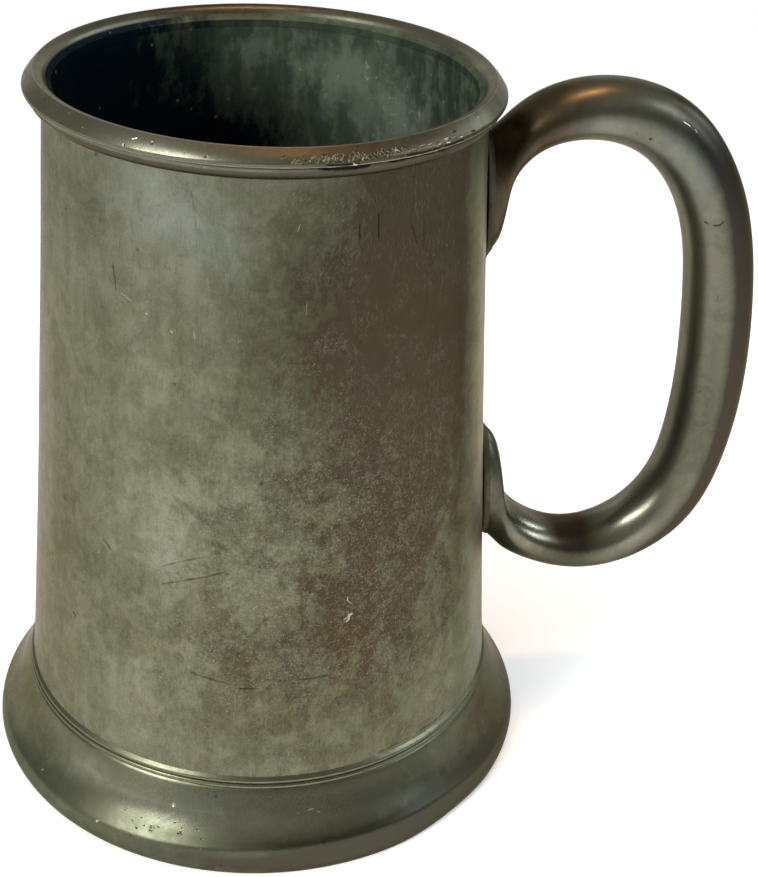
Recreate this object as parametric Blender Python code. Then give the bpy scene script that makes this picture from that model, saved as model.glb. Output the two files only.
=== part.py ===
"""A pint tankard in pewter: a tapered drum on a spun hollow foot, with a rolled rim and a hollow handle.

Units are metres, +Z is up and the mug stands on Z = 0. The turned pieces are drawn as half profiles of
(radius, height) points around the drum's axis. The handle lies in the plane Y = 0, towards +X. At the end
everything hangs from one empty, which puts the origin under the middle of the whole mug.
"""

import math

import bmesh
import bpy
import numpy as np
from mathutils import Matrix, Vector

# Overall
MUG_HEIGHT = 0.1300          # table to the top of the rim
JOINT_GAP = 0.0003           # left between two pieces that meet

# Drum: the tapered wall of the cup
DRUM_FOOT_RADIUS = 0.0446    # outside, at the lower edge
DRUM_TOP_RADIUS = 0.0366     # outside, at the upper edge
DRUM_WALL = 0.0017
DRUM_WAIST = 0.00034         # how far the side draws in halfway up
DRUM_TOP_DROP = 0.0035       # drum's upper edge below the top of the rim
DRUM_REBATE = 0.0006         # turned off the outside where the foot's collar fits

# Floor disc
FLOOR_UNDERSIDE = 0.0083     # height above the table
FLOOR_THICKNESS = 0.0020
FLOOR_DISH = 0.0006          # hollow turned into the underside
FLOOR_RING_RADIUS = 0.0150   # turned line around the middle of the underside
FLOOR_RING_WIDTH = 0.0012
FLOOR_LAND = 0.0025          # flat left around the dish, inside the foot's shelf
FLOOR_DISH_SLOPE = 0.0015    # width over which the dish reaches its depth

# Rim moulding, measured out from the drum and down from its top
RIM_NOSE_OUT = 0.0029        # widest part, beyond the drum's side
RIM_NOSE_DROP = 0.0019
RIM_CREST_OUT = 0.0006       # crest of the top, beyond the drum's side
RIM_MOUTH_DROP = 0.0009      # inner edge of the top
RIM_MOUTH_SPLAY = 0.0011     # how far the mouth opens above the drum's inner wall
RIM_GROOVE_DROP = 0.0030     # line cut under the nose
RIM_GROOVE_DEPTH = 0.0007
RIM_ROLL_OUT = 0.0021        # small roll below the groove
RIM_ROLL_DROP = 0.0040
RIM_DEPTH = 0.0053           # whole moulding, top to lower edge
RIM_HEM_THICKNESS = 0.0003   # metal left at the lower edge
RIM_LIP_BOW = 0.08           # swell of each stretch of the outline, as a share of its own run
RIM_NOSE_BOW = 0.20
RIM_UNDERCUT_BOW = 0.00036   # swell between the nose and the groove
RIM_ROLL_BOW = 0.00012
RIM_HEM_BOW = 0.00021

# Foot ring, measured out from the drum's side at the foot
FOOT_SPREAD = 0.0066         # widest part of the lower band
FOOT_REST_SPREAD = 0.0060    # outer edge of the face that meets the table
FOOT_ARRIS_SPREAD = 0.0055   # sharp edge between the band and the flare
FOOT_BELL_SPREAD = 0.0026    # belly of the moulding
FOOT_BELL_TOP_SPREAD = 0.0014
FOOT_BAND_WIDEST = 0.0019    # heights above the table
FOOT_BAND_TOP = 0.0041
FOOT_ARRIS_STEP = 0.0003
FOOT_BELL_HEIGHT = 0.0097
FOOT_BELL_TOP = 0.0124
FOOT_COVE_PROUD = 0.0003     # bottom of the cove, beyond the drum's side
FOOT_REED_RADIUS = 0.0008
FOOT_REED_HEIGHT = 0.0142    # middle of the lower reed
FOOT_REED_PITCH = 0.0016
FOOT_REED_SWEEP = 68.0       # degrees of the reed's round that show, each way from straight out
FOOT_LOWER_REED_PROUD = 0.0010
FOOT_UPPER_REED_PROUD = 0.0005
FOOT_WALL = 0.0022
FOOT_SHELF_REACH = 0.0040    # how far the floor's shelf reaches inside the drum's outer line
FOOT_SHELF_THICKNESS = 0.0018
FOOT_EDGE_BOW = 0.20         # swell of each stretch of the outline, as a share of its own run
FOOT_BAND_BOW = 0.15
FOOT_FLARE_BOW = 0.13
FOOT_BELLY_BOW = 0.25

# Handle
HANDLE_CROWN_DROP = 0.0023   # crown of the handle below the top of the rim
HANDLE_SPAN = 0.1000         # crown to heel
HANDLE_REACH = 0.0523        # drum's side to the outside of the grip
HANDLE_WIDTH = 0.0136        # across the grip
HANDLE_WALL = 0.0016
HANDLE_BORE = 0.0100         # greatest width of the hollow, in the plane of the handle

# Solder fillets
SOLDER_LEG = 0.0010
SOLDER_CLIMB = 0.0015        # how far the fillet climbs the handle, along the handle's middle line
SOLDER_SAG = 0.35            # how much the fillet's face is hollowed, as a share of its depth

# Facets
TURNED_STEPS = 64
TURNED_EDGE_DEGREES = 35.0   # sharper corners than this stay crisp
LOFTED_EDGE_DEGREES = 50.0
DRUM_BANDS = 5
HANDLE_SIDES = 24
HANDLE_RING_PITCH = 0.0045   # greatest distance between two rings of the handle's mesh
ARC_STEPS = 4

# The handle's stations, from the upper seat over the crown and down the grip to the lower seat.
# outer rail (out, down), inner rail (out, down), width
# "out" is a share of HANDLE_REACH from the drum's side, "down" a share of HANDLE_SPAN from the crown and
# "width" a share of HANDLE_WIDTH.
HANDLE_STATIONS = (
    (0.000, 0.102, 0.000, 0.322, 0.92),
    (0.043, 0.084, 0.045, 0.292, 0.95),
    (0.100, 0.060, 0.062, 0.218, 0.96),
    (0.196, 0.027, 0.122, 0.151, 0.95),
    (0.423, 0.000, 0.301, 0.109, 0.93),
    (0.708, 0.047, 0.534, 0.137, 0.95),
    (0.903, 0.182, 0.687, 0.241, 0.97),
    (0.995, 0.414, 0.744, 0.431, 1.00),
    (0.963, 0.710, 0.721, 0.687, 1.00),
    (0.800, 0.909, 0.601, 0.842, 0.98),
    (0.515, 0.997, 0.352, 0.905, 0.96),
    (0.222, 0.986, 0.132, 0.853, 0.95),
    (0.095, 0.953, 0.080, 0.792, 0.96),
    (0.043, 0.926, 0.056, 0.698, 0.95),
    (0.000, 0.903, 0.000, 0.670, 0.92),
)
ROOT_STATIONS = 3            # stations at each end that hug the drum


def clear_scene():
    for thing in list(bpy.data.objects):
        bpy.data.objects.remove(thing, do_unlink=True)


def drum_bottom():
    """Height of the drum's lower edge, which stands on the floor disc."""
    return FLOOR_UNDERSIDE + FLOOR_THICKNESS + JOINT_GAP


def drum_top():
    return MUG_HEIGHT - DRUM_TOP_DROP


def drum_radius(height):
    """Outside radius of the drum: a straight taper drawn in a little at half height."""
    share = (height - drum_bottom()) / (drum_top() - drum_bottom())
    taper = DRUM_FOOT_RADIUS + share * (DRUM_TOP_RADIUS - DRUM_FOOT_RADIUS)
    return taper - 4.0 * DRUM_WAIST * share * (1.0 - share)


def spigot_radius(height):
    """Outside radius of the drum's lower end, where the foot's collar fits over it."""
    return drum_radius(height) - DRUM_REBATE


def collar_top():
    """Height of the foot's upper edge."""
    return FOOT_REED_HEIGHT + FOOT_REED_PITCH + FOOT_REED_RADIUS


def bowed(start, end, bow, steps=ARC_STEPS):
    """Points of a shallow arc from start up to, not including, end.

    A positive bow swells to the left of the way from start to end.
    """
    start, end = Vector(start), Vector(end)
    across = Vector((start.y - end.y, end.x - start.x)).normalized()
    points = []
    for step in range(steps):
        share = step / steps
        points.append(start.lerp(end, share) + across * (bow * 4.0 * share * (1.0 - share)))
    return [tuple(point) for point in points]


def arc(centre, radius, start_degrees, end_degrees, steps=ARC_STEPS):
    """Points of a circular arc, both ends included."""
    points = []
    for step in range(steps + 1):
        angle = math.radians(start_degrees + (end_degrees - start_degrees) * step / steps)
        points.append((centre[0] + radius * math.cos(angle), centre[1] + radius * math.sin(angle)))
    return points


def pewter(name, colour, roughness):
    """A dull metal of one colour."""
    material = bpy.data.materials.new(name)
    material.use_nodes = True
    shader = material.node_tree.nodes["Principled BSDF"]
    shader.inputs["Base Color"].default_value = (*colour, 1.0)
    shader.inputs["Roughness"].default_value = roughness
    shader.inputs["Metallic"].default_value = 1.0
    return material


def finish(name, mesh_builder, material, edge_degrees):
    """Turn a bmesh into a named object, smooth but for its real edges."""
    bmesh.ops.recalc_face_normals(mesh_builder, faces=mesh_builder.faces[:])
    mesh = bpy.data.meshes.new(name)
    mesh_builder.to_mesh(mesh)
    mesh_builder.free()
    mesh.shade_smooth()
    mesh.set_sharp_from_angle(angle=math.radians(edge_degrees))
    mesh.materials.append(material)
    piece = bpy.data.objects.new(name, mesh)
    bpy.context.collection.objects.link(piece)
    return piece


def turned(name, profile, material):
    """Spin a closed half profile of (radius, height) points around the mug's axis."""
    builder = bmesh.new()
    corners = [builder.verts.new((radius, 0.0, height)) for radius, height in profile]
    edges = [
        builder.edges.new((corner, corners[(index + 1) % len(corners)]))
        for index, corner in enumerate(corners)
        if not (corner.co.x == 0.0 and corners[(index + 1) % len(corners)].co.x == 0.0)
    ]
    bmesh.ops.spin(
        builder,
        geom=corners + edges,
        cent=(0.0, 0.0, 0.0),
        axis=(0.0, 0.0, 1.0),
        angle=2.0 * math.pi,
        steps=TURNED_STEPS,
    )
    bmesh.ops.remove_doubles(builder, verts=builder.verts[:], dist=1e-6)
    return finish(name, builder, material, TURNED_EDGE_DEGREES)


def build_drum(material):
    """The cup's wall, from the floor disc up into the rim."""
    shoulder = collar_top() + JOINT_GAP
    bands = [step / DRUM_BANDS for step in range(DRUM_BANDS + 1)]
    above = [shoulder + (drum_top() - shoulder) * share for share in bands]
    outside = [(spigot_radius(drum_bottom()), drum_bottom()), (spigot_radius(shoulder), shoulder)]
    outside += [(drum_radius(height), height) for height in above]
    inside = [(drum_radius(height) - DRUM_WALL, height) for height in reversed(above)]
    inside += [(drum_radius(drum_bottom()) - DRUM_WALL, drum_bottom())]
    return turned("drum", outside + inside, material)


def build_rim(material):
    """The rolled moulding that caps the drum and wraps its upper edge."""
    side = drum_radius(drum_top())
    inner_wall = side - DRUM_WALL
    top = MUG_HEIGHT
    hem = top - RIM_DEPTH
    mouth = (inner_wall + RIM_MOUTH_SPLAY, top - RIM_MOUTH_DROP)
    crest = (side + RIM_CREST_OUT, top)
    nose = (side + RIM_NOSE_OUT, top - RIM_NOSE_DROP)
    groove = (side + RIM_NOSE_OUT - RIM_GROOVE_DEPTH, top - RIM_GROOVE_DROP)
    roll = (side + RIM_ROLL_OUT, top - RIM_ROLL_DROP)
    hem_in = (drum_radius(hem) + JOINT_GAP, hem)
    hem_out = (hem_in[0] + RIM_HEM_THICKNESS, hem)
    throat = drum_top() + JOINT_GAP
    profile = [(inner_wall, throat)]
    profile += [(inner_wall, (throat + mouth[1]) / 2.0)]
    profile += bowed(mouth, crest, RIM_LIP_BOW * (crest[0] - mouth[0]))
    profile += bowed(crest, nose, RIM_NOSE_BOW * (nose[0] - crest[0]))
    profile += bowed(nose, groove, RIM_UNDERCUT_BOW, 3)
    profile += bowed(groove, roll, RIM_ROLL_BOW, 2)
    profile += bowed(roll, hem_out, RIM_HEM_BOW, 3)
    profile += [hem_out, hem_in]
    profile += [(side + JOINT_GAP, throat)]
    return turned("rim_moulding", profile, material)


def build_foot(material):
    """The hollow foot: lower band, flare, belly, cove and two reeds, with a shelf inside for the floor."""
    base = drum_radius(drum_bottom())
    shelf = FLOOR_UNDERSIDE - JOINT_GAP
    under_shelf = shelf - FOOT_SHELF_THICKNESS
    rest = (base + FOOT_REST_SPREAD, 0.0)
    widest = (base + FOOT_SPREAD, FOOT_BAND_WIDEST)
    band_top = (base + (FOOT_ARRIS_SPREAD + FOOT_SPREAD) / 2.0, FOOT_BAND_TOP)
    arris = (base + FOOT_ARRIS_SPREAD, FOOT_BAND_TOP + FOOT_ARRIS_STEP)
    belly = (base + FOOT_BELL_SPREAD, FOOT_BELL_HEIGHT)
    bell_top = (base + FOOT_BELL_TOP_SPREAD, FOOT_BELL_TOP)
    cove_height = (FOOT_BELL_TOP + FOOT_REED_HEIGHT - FOOT_REED_RADIUS) / 2.0
    cove = (drum_radius(cove_height) + FOOT_COVE_PROUD, cove_height)
    foot_inside = (rest[0] - FOOT_WALL, 0.0)
    skirt_inside = (belly[0] - FOOT_WALL, under_shelf)
    profile = bowed(rest, widest, -FOOT_EDGE_BOW * (widest[0] - rest[0]), 2)
    profile += bowed(widest, band_top, -FOOT_BAND_BOW * (widest[0] - band_top[0]), 2)
    profile += [band_top]
    profile += bowed(arris, belly, FOOT_FLARE_BOW * (arris[0] - belly[0]), 5)
    profile += bowed(belly, bell_top, -FOOT_BELLY_BOW * (belly[0] - bell_top[0]), 3)
    profile += [bell_top, cove]
    for middle, proud in (
        (FOOT_REED_HEIGHT, FOOT_LOWER_REED_PROUD),
        (FOOT_REED_HEIGHT + FOOT_REED_PITCH, FOOT_UPPER_REED_PROUD),
    ):
        centre = (drum_radius(middle) + proud - FOOT_REED_RADIUS, middle)
        profile += arc(centre, FOOT_REED_RADIUS, -FOOT_REED_SWEEP, FOOT_REED_SWEEP, 5)
    profile += [(spigot_radius(collar_top()) + JOINT_GAP, collar_top())]
    profile += [(spigot_radius(shelf) + JOINT_GAP, shelf)]
    profile += [(base - FOOT_SHELF_REACH, shelf), (base - FOOT_SHELF_REACH, under_shelf)]
    profile += bowed(skirt_inside, foot_inside, 0.0, 2)
    profile += [foot_inside]
    return turned("foot_ring", profile, material)


def build_floor(material):
    """The disc that closes the cup, resting on the foot's shelf, with a turned line underneath."""
    rim = spigot_radius(drum_bottom())
    top = FLOOR_UNDERSIDE + FLOOR_THICKNESS
    dished = FLOOR_UNDERSIDE + FLOOR_DISH
    shelf_edge = drum_radius(drum_bottom()) - FOOT_SHELF_REACH
    profile = [
        (0.0, top),
        (0.0, dished),
        (FLOOR_RING_RADIUS, dished),
        (FLOOR_RING_RADIUS + 0.5 * FLOOR_RING_WIDTH, dished - 0.5 * FLOOR_DISH),
        (FLOOR_RING_RADIUS + FLOOR_RING_WIDTH, dished),
        (shelf_edge - FLOOR_LAND - FLOOR_DISH_SLOPE, dished),
        (shelf_edge - FLOOR_LAND, FLOOR_UNDERSIDE),
        (rim, FLOOR_UNDERSIDE),
        (rim, top),
    ]
    return turned("floor_disc", profile, material)


def station_track():
    """Length along the handle's middle line at each station."""
    middles = [
        Vector(((outer_out + inner_out) / 2.0 * HANDLE_REACH, (outer_down + inner_down) / 2.0 * HANDLE_SPAN))
        for outer_out, outer_down, inner_out, inner_down, _ in HANDLE_STATIONS
    ]
    track = [0.0]
    for before, after in zip(middles, middles[1:]):
        track.append(track[-1] + (after - before).length)
    return np.array(track)


def station_slopes(values, track):
    """Slope of each station value along the track, for a curve that passes smoothly through them all."""
    steps = np.diff(track)[:, None]
    rises = np.diff(values, axis=0) / steps
    inner = (rises[:-1] * steps[1:] + rises[1:] * steps[:-1]) / (steps[:-1] + steps[1:])
    return np.vstack([rises[:1], inner, rises[-1:]])


def handle_values(position):
    """The five station values at a fractional station number."""
    values, track = np.array(HANDLE_STATIONS), station_track()
    slopes = station_slopes(values, track)
    index = min(int(position), len(values) - 2)
    share, step = position - index, track[index + 1] - track[index]
    rest = 1.0 - share
    return (
        values[index] * (1.0 + 2.0 * share) * rest**2
        + slopes[index] * step * share * rest**2
        + values[index + 1] * (3.0 - 2.0 * share) * share**2
        - slopes[index + 1] * step * share**2 * rest
    )


def handle_rail(out, down):
    """A rail's point in the handle's plane, as (distance from the mug's axis, height)."""
    height = MUG_HEIGHT - HANDLE_CROWN_DROP - down * HANDLE_SPAN
    return Vector((drum_radius(height) + JOINT_GAP + out * HANDLE_REACH, height))


def hug(position):
    """1 where the handle lies on the drum and 0 once it is clear of it."""
    from_end = min(position, len(HANDLE_STATIONS) - 1 - position)
    return max(0.0, 1.0 - from_end / ROOT_STATIONS) ** 2


def handle_ring(position, grow=0.0, bore=False):
    """One oval ring around the handle, wrapped to the drum's round side near the seats.

    Grow widens the oval on every side. Bore gives the ring of the hollow inside instead.
    """
    outer_out, outer_down, inner_out, inner_down, width = handle_values(position)
    outer, inner = handle_rail(outer_out, outer_down), handle_rail(inner_out, inner_down)
    middle, half = (outer + inner) / 2.0, (outer - inner) / 2.0
    half_depth, half_width = half.length, width * HANDLE_WIDTH / 2.0
    if bore:
        half_depth = min(half_depth - HANDLE_WALL, HANDLE_BORE / 2.0)
        half_width -= HANDLE_WALL
    along = half.normalized() * (half_depth + grow)
    across = half_width + grow
    ring = []
    for side in range(HANDLE_SIDES):
        angle = 2.0 * math.pi * side / HANDLE_SIDES
        point = middle + along * math.cos(angle)
        sideways = across * math.sin(angle)
        drum = drum_radius(point.y) + JOINT_GAP
        sink = drum - math.sqrt(drum**2 - sideways**2)
        ring.append(Vector((point.x - sink * hug(position), sideways, point.y)))
    return ring


def handle_positions():
    """Fractional station numbers of the mesh's rings, a ring pitch apart at most and two to a station."""
    positions = []
    for index, length in enumerate(np.diff(station_track())):
        count = max(2, math.ceil(length / HANDLE_RING_PITCH))
        positions += [index + step / count for step in range(count)]
    return positions + [float(len(HANDLE_STATIONS) - 1)]


def loft(name, rings, material, closed=False):
    """Join rings of equal length in order; a closed loft also joins the last to the first."""
    builder = bmesh.new()
    rows = [[builder.verts.new(point) for point in ring] for ring in rings]
    pairs = list(zip(rows, rows[1:]))
    if closed:
        pairs.append((rows[-1], rows[0]))
    for row, following in pairs:
        for side, corner in enumerate(row):
            turn = (side + 1) % len(row)
            builder.faces.new((corner, row[turn], following[turn], following[side]))
    return finish(name, builder, material, LOFTED_EDGE_DEGREES)


def build_handle(material):
    """The hollow cast handle: its skin out along the stations, then its bore back to the start."""
    positions = handle_positions()
    skin = [handle_ring(position) for position in positions]
    bore = [handle_ring(position, bore=True) for position in reversed(positions)]
    return loft("handle", skin + bore, material, closed=True)


def on_drum(point):
    """The point moved straight in or out until it lies on the drum, less the joint gap."""
    flat = Vector((point.x, point.y, 0.0)).normalized() * (drum_radius(point.z) + JOINT_GAP)
    return Vector((flat.x, flat.y, point.z))


def build_handle_solder(name, end, material):
    """A hollow-faced fillet of solder in the corner between the drum and one seat of the handle.

    End is 0 for the handle's upper seat and 1 for its lower one.
    """
    last = len(HANDLE_STATIONS) - 1
    first_length, *_, last_length = np.diff(station_track())
    rise = SOLDER_CLIMB / (last_length if end else first_length)
    climb = [rise * share for share in (0.0, 0.5, 1.0)]
    against_handle = [handle_ring(abs(end * last - step), grow=JOINT_GAP) for step in climb]
    on_side = [on_drum(point) for point in handle_ring(end * last, grow=JOINT_GAP + SOLDER_LEG)]
    face = []
    for high, low, corner in zip(against_handle[-1], on_side, against_handle[0]):
        middle = (high + low) / 2.0
        face.append(middle.lerp(corner, SOLDER_SAG))
    return loft(name, against_handle + [face, on_side], material, closed=True)


def build_floor_solder(material):
    """Fillet of solder inside the cup, where the wall meets the floor."""
    floor = drum_bottom()
    wall = drum_radius(floor) - DRUM_WALL - JOINT_GAP
    raised = drum_radius(floor + SOLDER_LEG) - DRUM_WALL - JOINT_GAP
    sag = (wall - SOLDER_SAG * SOLDER_LEG, floor + SOLDER_SAG * SOLDER_LEG)
    profile = [(wall - SOLDER_LEG, floor), (wall, floor), (raised, floor + SOLDER_LEG), sag]
    return turned("floor_solder", profile, material)


def build_foot_solder(material):
    """Fillet of solder under the floor, against the inner edge of the foot's shelf."""
    underside = FLOOR_UNDERSIDE - JOINT_GAP
    shelf_edge = drum_radius(drum_bottom()) - FOOT_SHELF_REACH - JOINT_GAP
    sag = (shelf_edge - SOLDER_SAG * SOLDER_LEG, underside - SOLDER_SAG * SOLDER_LEG)
    toe = (shelf_edge - SOLDER_LEG, underside)
    heel = (shelf_edge, underside - SOLDER_LEG)
    return turned("foot_solder", [(shelf_edge, underside), toe, sag, heel], material)


def stand_on_origin(pieces):
    """Hang every piece from one empty, with the origin under the middle of the whole mug."""
    across = [corner.co.x for piece in pieces for corner in piece.data.vertices]
    frame = bpy.data.objects.new("mug_frame", None)
    bpy.context.collection.objects.link(frame)
    for piece in pieces:
        piece.parent = frame
    frame.matrix_world = Matrix.Translation((-(min(across) + max(across)) / 2.0, 0.0, 0.0))


def main():
    clear_scene()
    side = pewter("drum_pewter", (0.42, 0.42, 0.36), 0.38)
    rolled = pewter("rim_pewter", (0.46, 0.43, 0.36), 0.34)
    spun = pewter("foot_pewter", (0.40, 0.40, 0.34), 0.32)
    disc = pewter("floor_pewter", (0.20, 0.23, 0.21), 0.48)
    cast = pewter("handle_pewter", (0.36, 0.36, 0.32), 0.30)
    solder = pewter("solder", (0.33, 0.33, 0.30), 0.45)
    pieces = [
        build_drum(side),
        build_rim(rolled),
        build_foot(spun),
        build_floor(disc),
        build_handle(cast),
        build_handle_solder("handle_upper_solder", 0, solder),
        build_handle_solder("handle_lower_solder", 1, solder),
        build_floor_solder(solder.copy()),
        build_foot_solder(solder.copy()),
    ]
    stand_on_origin(pieces)
    bpy.context.view_layer.update()


main()
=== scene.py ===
"""Visual model of a pint tankard in worn pewter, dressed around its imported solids.

Lengths are in metres in the row frame: +Z up, +X towards the handle, the table at Z = 0. The turned pieces
are half profiles of (radius, height) turned about the drum's axis, and the handle is a lofted hollow loop.
Scores, dents and worn edges are made in the meshes, which also carry the attributes that the finishes read.
"""

import logging
import math
import random
from collections.abc import Callable, Sequence
from dataclasses import dataclass, field
from enum import Enum

import bmesh
import bpy
import numpy as np
from mathutils import Matrix, Vector, noise
from mathutils.kdtree import KDTree


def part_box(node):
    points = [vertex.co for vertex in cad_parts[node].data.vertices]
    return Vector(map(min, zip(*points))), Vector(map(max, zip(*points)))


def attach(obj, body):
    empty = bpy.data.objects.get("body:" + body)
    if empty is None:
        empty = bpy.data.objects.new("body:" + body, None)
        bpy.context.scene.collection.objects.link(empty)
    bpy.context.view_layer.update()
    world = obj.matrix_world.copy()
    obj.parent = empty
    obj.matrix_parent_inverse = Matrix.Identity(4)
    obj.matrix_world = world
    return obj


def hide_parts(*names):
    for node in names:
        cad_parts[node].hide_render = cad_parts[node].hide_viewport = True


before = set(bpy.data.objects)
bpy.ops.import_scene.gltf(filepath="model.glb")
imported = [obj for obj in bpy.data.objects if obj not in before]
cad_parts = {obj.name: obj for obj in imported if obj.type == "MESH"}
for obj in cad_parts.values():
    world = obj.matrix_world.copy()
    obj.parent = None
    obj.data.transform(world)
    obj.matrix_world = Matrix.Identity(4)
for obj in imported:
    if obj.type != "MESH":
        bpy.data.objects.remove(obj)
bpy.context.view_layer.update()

LOG = logging.getLogger("tankard")

Piece = bpy.types.Object
Point = tuple[float, float]
Colour = tuple[float, float, float]
Place = Callable[[float, float], Vector]

PER_METRE = 1000.0
MERGE = 1e-6
HAIR = 0.00001
# Margins round a score within which faces are divided, each with its number of cuts.
SCORE_CUTS = ((0.0009, 2), (0.0003, 1))
# How far a score presses the metal, in half widths.
SCORE_REACH = 2.5


class Slot(Enum):
    """The record's material slots."""

    DRUM = "drum_pewter"
    RIM = "rim_pewter"
    FOOT = "foot_pewter"
    FLOOR = "floor_pewter"
    HANDLE = "handle_pewter"
    SOLDER = "solder"


class Tone(Enum):
    """What a mark does to the metal: gathers dirt, or shows it bright."""

    DARK = "grime"
    BRIGHT = "wear"


@dataclass(frozen=True)
class MugLine:
    """The mug's main lines, which the turned pieces and the handle take their places from.

    Attributes:
        axis: Where the drum's axis stands along X.
        brim: Height of the drum's upper edge, inside the rim.
        gap: Clearance that stands for a soldered joint.
        waist: How far the drum's side is drawn in at half height.
        rebate: How far the drum is turned down inside the foot's collar.
    """

    axis: float
    brim: float
    height: float = 0.1300
    gap: float = 0.0003
    foot_radius: float = 0.0446
    top_radius: float = 0.0366
    wall: float = 0.0017
    waist: float = 0.00034
    rebate: float = 0.0006
    floor_underside: float = 0.0083
    floor_thickness: float = 0.0020
    collar_top: float = 0.0166

    @property
    def base(self) -> float:
        """Height of the drum's lower edge."""
        return self.floor_underside + self.floor_thickness + self.gap

    def radius(self, height: float) -> float:
        """Outside radius of the drum at a height."""
        share = (height - self.base) / (self.brim - self.base)
        taper = self.foot_radius + share * (self.top_radius - self.foot_radius)
        return taper - 4.0 * self.waist * share * (1.0 - share)

    def spot(self, degrees: float, radius: float, height: float) -> Vector:
        """The point at an angle round the drum's axis, a radius and a height."""
        angle = math.radians(degrees)
        return Vector((self.axis + radius * math.cos(angle), radius * math.sin(angle), height))

    def on_side(self, degrees: float, height: float) -> Vector:
        """The point of the drum's side at an angle and a height."""
        return self.spot(degrees, self.radius(height), height)


LINE = MugLine(axis=sum(corner.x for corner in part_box("drum")) / 2.0, brim=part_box("drum")[1].z)


def bowed(start: Point, end: Point, bow: float = 0.0, steps: int = 10) -> list[Point]:
    """Points of a shallow arc, or of a straight run.

    Args:
        start: First point, which is included.
        end: Last point, which isn't.
        bow: How far the middle swells to the left of the way from start to end.
        steps: Number of points.

    Returns:
        The points, as (radius, height).
    """
    first, last = Vector(start), Vector(end)
    across = Vector((first.y - last.y, last.x - first.x)).normalized()
    shares = [step / steps for step in range(steps)]
    return [tuple(first.lerp(last, at) + across * (bow * 4.0 * at * (1.0 - at))) for at in shares]


def arc(centre: Point, radius: float, start: float, end: float, steps: int = 14) -> list[Point]:
    """Points of a circular arc between two angles in degrees, both ends included."""
    angles = [math.radians(start + (end - start) * step / steps) for step in range(steps + 1)]
    return [(centre[0] + radius * math.cos(angle), centre[1] + radius * math.sin(angle)) for angle in angles]


def start_mesh(name: str, add: Callable[..., set[str]], **settings: object) -> Piece:
    """Add a primitive by its operator, name it, and open it alone in edit mode.

    Args:
        name: The new piece's name.
        add: The operator that adds the primitive.
        **settings: The operator's settings.

    Returns:
        The new piece, in edit mode.
    """
    bpy.ops.object.select_all(action="DESELECT")
    add(**settings)
    piece = bpy.context.object
    piece.name = piece.data.name = name
    bpy.ops.object.mode_set(mode="EDIT")
    return piece


def open_mesh(piece: Piece) -> bmesh.types.BMesh:
    """Open a piece alone in edit mode, with nothing selected in it.

    Args:
        piece: The piece, in object mode.

    Returns:
        Its edit mesh.
    """
    bpy.ops.object.select_all(action="DESELECT")
    bpy.context.view_layer.objects.active = piece
    piece.select_set(True)
    bpy.ops.object.mode_set(mode="EDIT")
    bpy.ops.mesh.select_all(action="DESELECT")
    return bmesh.from_edit_mesh(piece.data)


def close_mesh(piece: Piece, crease: float) -> Piece:
    """Merge what coincides, face it all outwards, and shade it smooth but for creases over some degrees.

    Args:
        piece: The piece, in edit mode.
        crease: Corners sharper than this many degrees stay crisp.

    Returns:
        The piece, in object mode.
    """
    bpy.ops.mesh.select_all(action="SELECT")
    bpy.ops.mesh.remove_doubles(threshold=MERGE)
    bpy.ops.mesh.normals_make_consistent(inside=False)
    bpy.ops.object.mode_set(mode="OBJECT")
    bpy.ops.object.shade_smooth_by_angle(angle=math.radians(crease))
    return piece


def turned(name: str, profile: Sequence[Point], steps: int, crease: float = 35.0) -> Piece:
    """Draw a half profile by extruding a corner from point to point, and turn it about the drum's axis.

    Args:
        name: The new piece's name.
        profile: Its (radius, height) points. The outline closes itself, unless it starts on the axis.
        steps: Facets around.
        crease: Corners sharper than this many degrees stay crisp.

    Returns:
        The turned piece, a closed mesh.
    """
    piece = start_mesh(name, bpy.ops.mesh.primitive_plane_add, size=0.001)
    bpy.ops.mesh.merge(type="CENTER")
    outline = list(profile)
    if outline[0][0] > 0.0:
        outline.append(outline[0])
    bpy.ops.transform.translate(value=(outline[0][0], 0.0, outline[0][1]))
    for (radius, height), (next_radius, next_height) in zip(outline, outline[1:]):
        move = (next_radius - radius, 0.0, next_height - height)
        bpy.ops.mesh.extrude_vertices_move(TRANSFORM_OT_translate={"value": move})
    bpy.ops.mesh.select_all(action="SELECT")
    bpy.ops.mesh.remove_doubles(threshold=MERGE)
    bpy.ops.object.mode_set(mode="OBJECT")
    screw = piece.modifiers.new("turn", "SCREW")
    screw.angle = 2.0 * math.pi
    screw.steps = screw.render_steps = steps
    screw.use_merge_vertices = True
    screw.merge_threshold = MERGE
    bpy.ops.object.modifier_apply(modifier=screw.name)
    bpy.ops.object.mode_set(mode="EDIT")
    bpy.ops.mesh.select_all(action="SELECT")
    bpy.ops.transform.translate(value=(LINE.axis, 0.0, 0.0))
    return close_mesh(piece, crease)


def place_ring(mesh: bmesh.types.BMesh, slots: dict[int, int], ring: Sequence[Vector]) -> dict[int, int]:
    """Move the corners that an extrusion has just made, and selected, to their places on a ring.

    Args:
        mesh: The edit mesh.
        slots: For each corner of the ring before, its number round the ring.
        ring: The new ring's points.

    Returns:
        The new corners' numbers round the ring.
    """
    mesh.verts.index_update()
    placed = {}
    for corner in [corner for corner in mesh.verts if corner.select]:
        for edge in corner.link_edges:
            slot = slots.get(edge.other_vert(corner).index)
            if slot is not None:
                corner.co = ring[slot]
                placed[corner.index] = slot
    return placed


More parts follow.
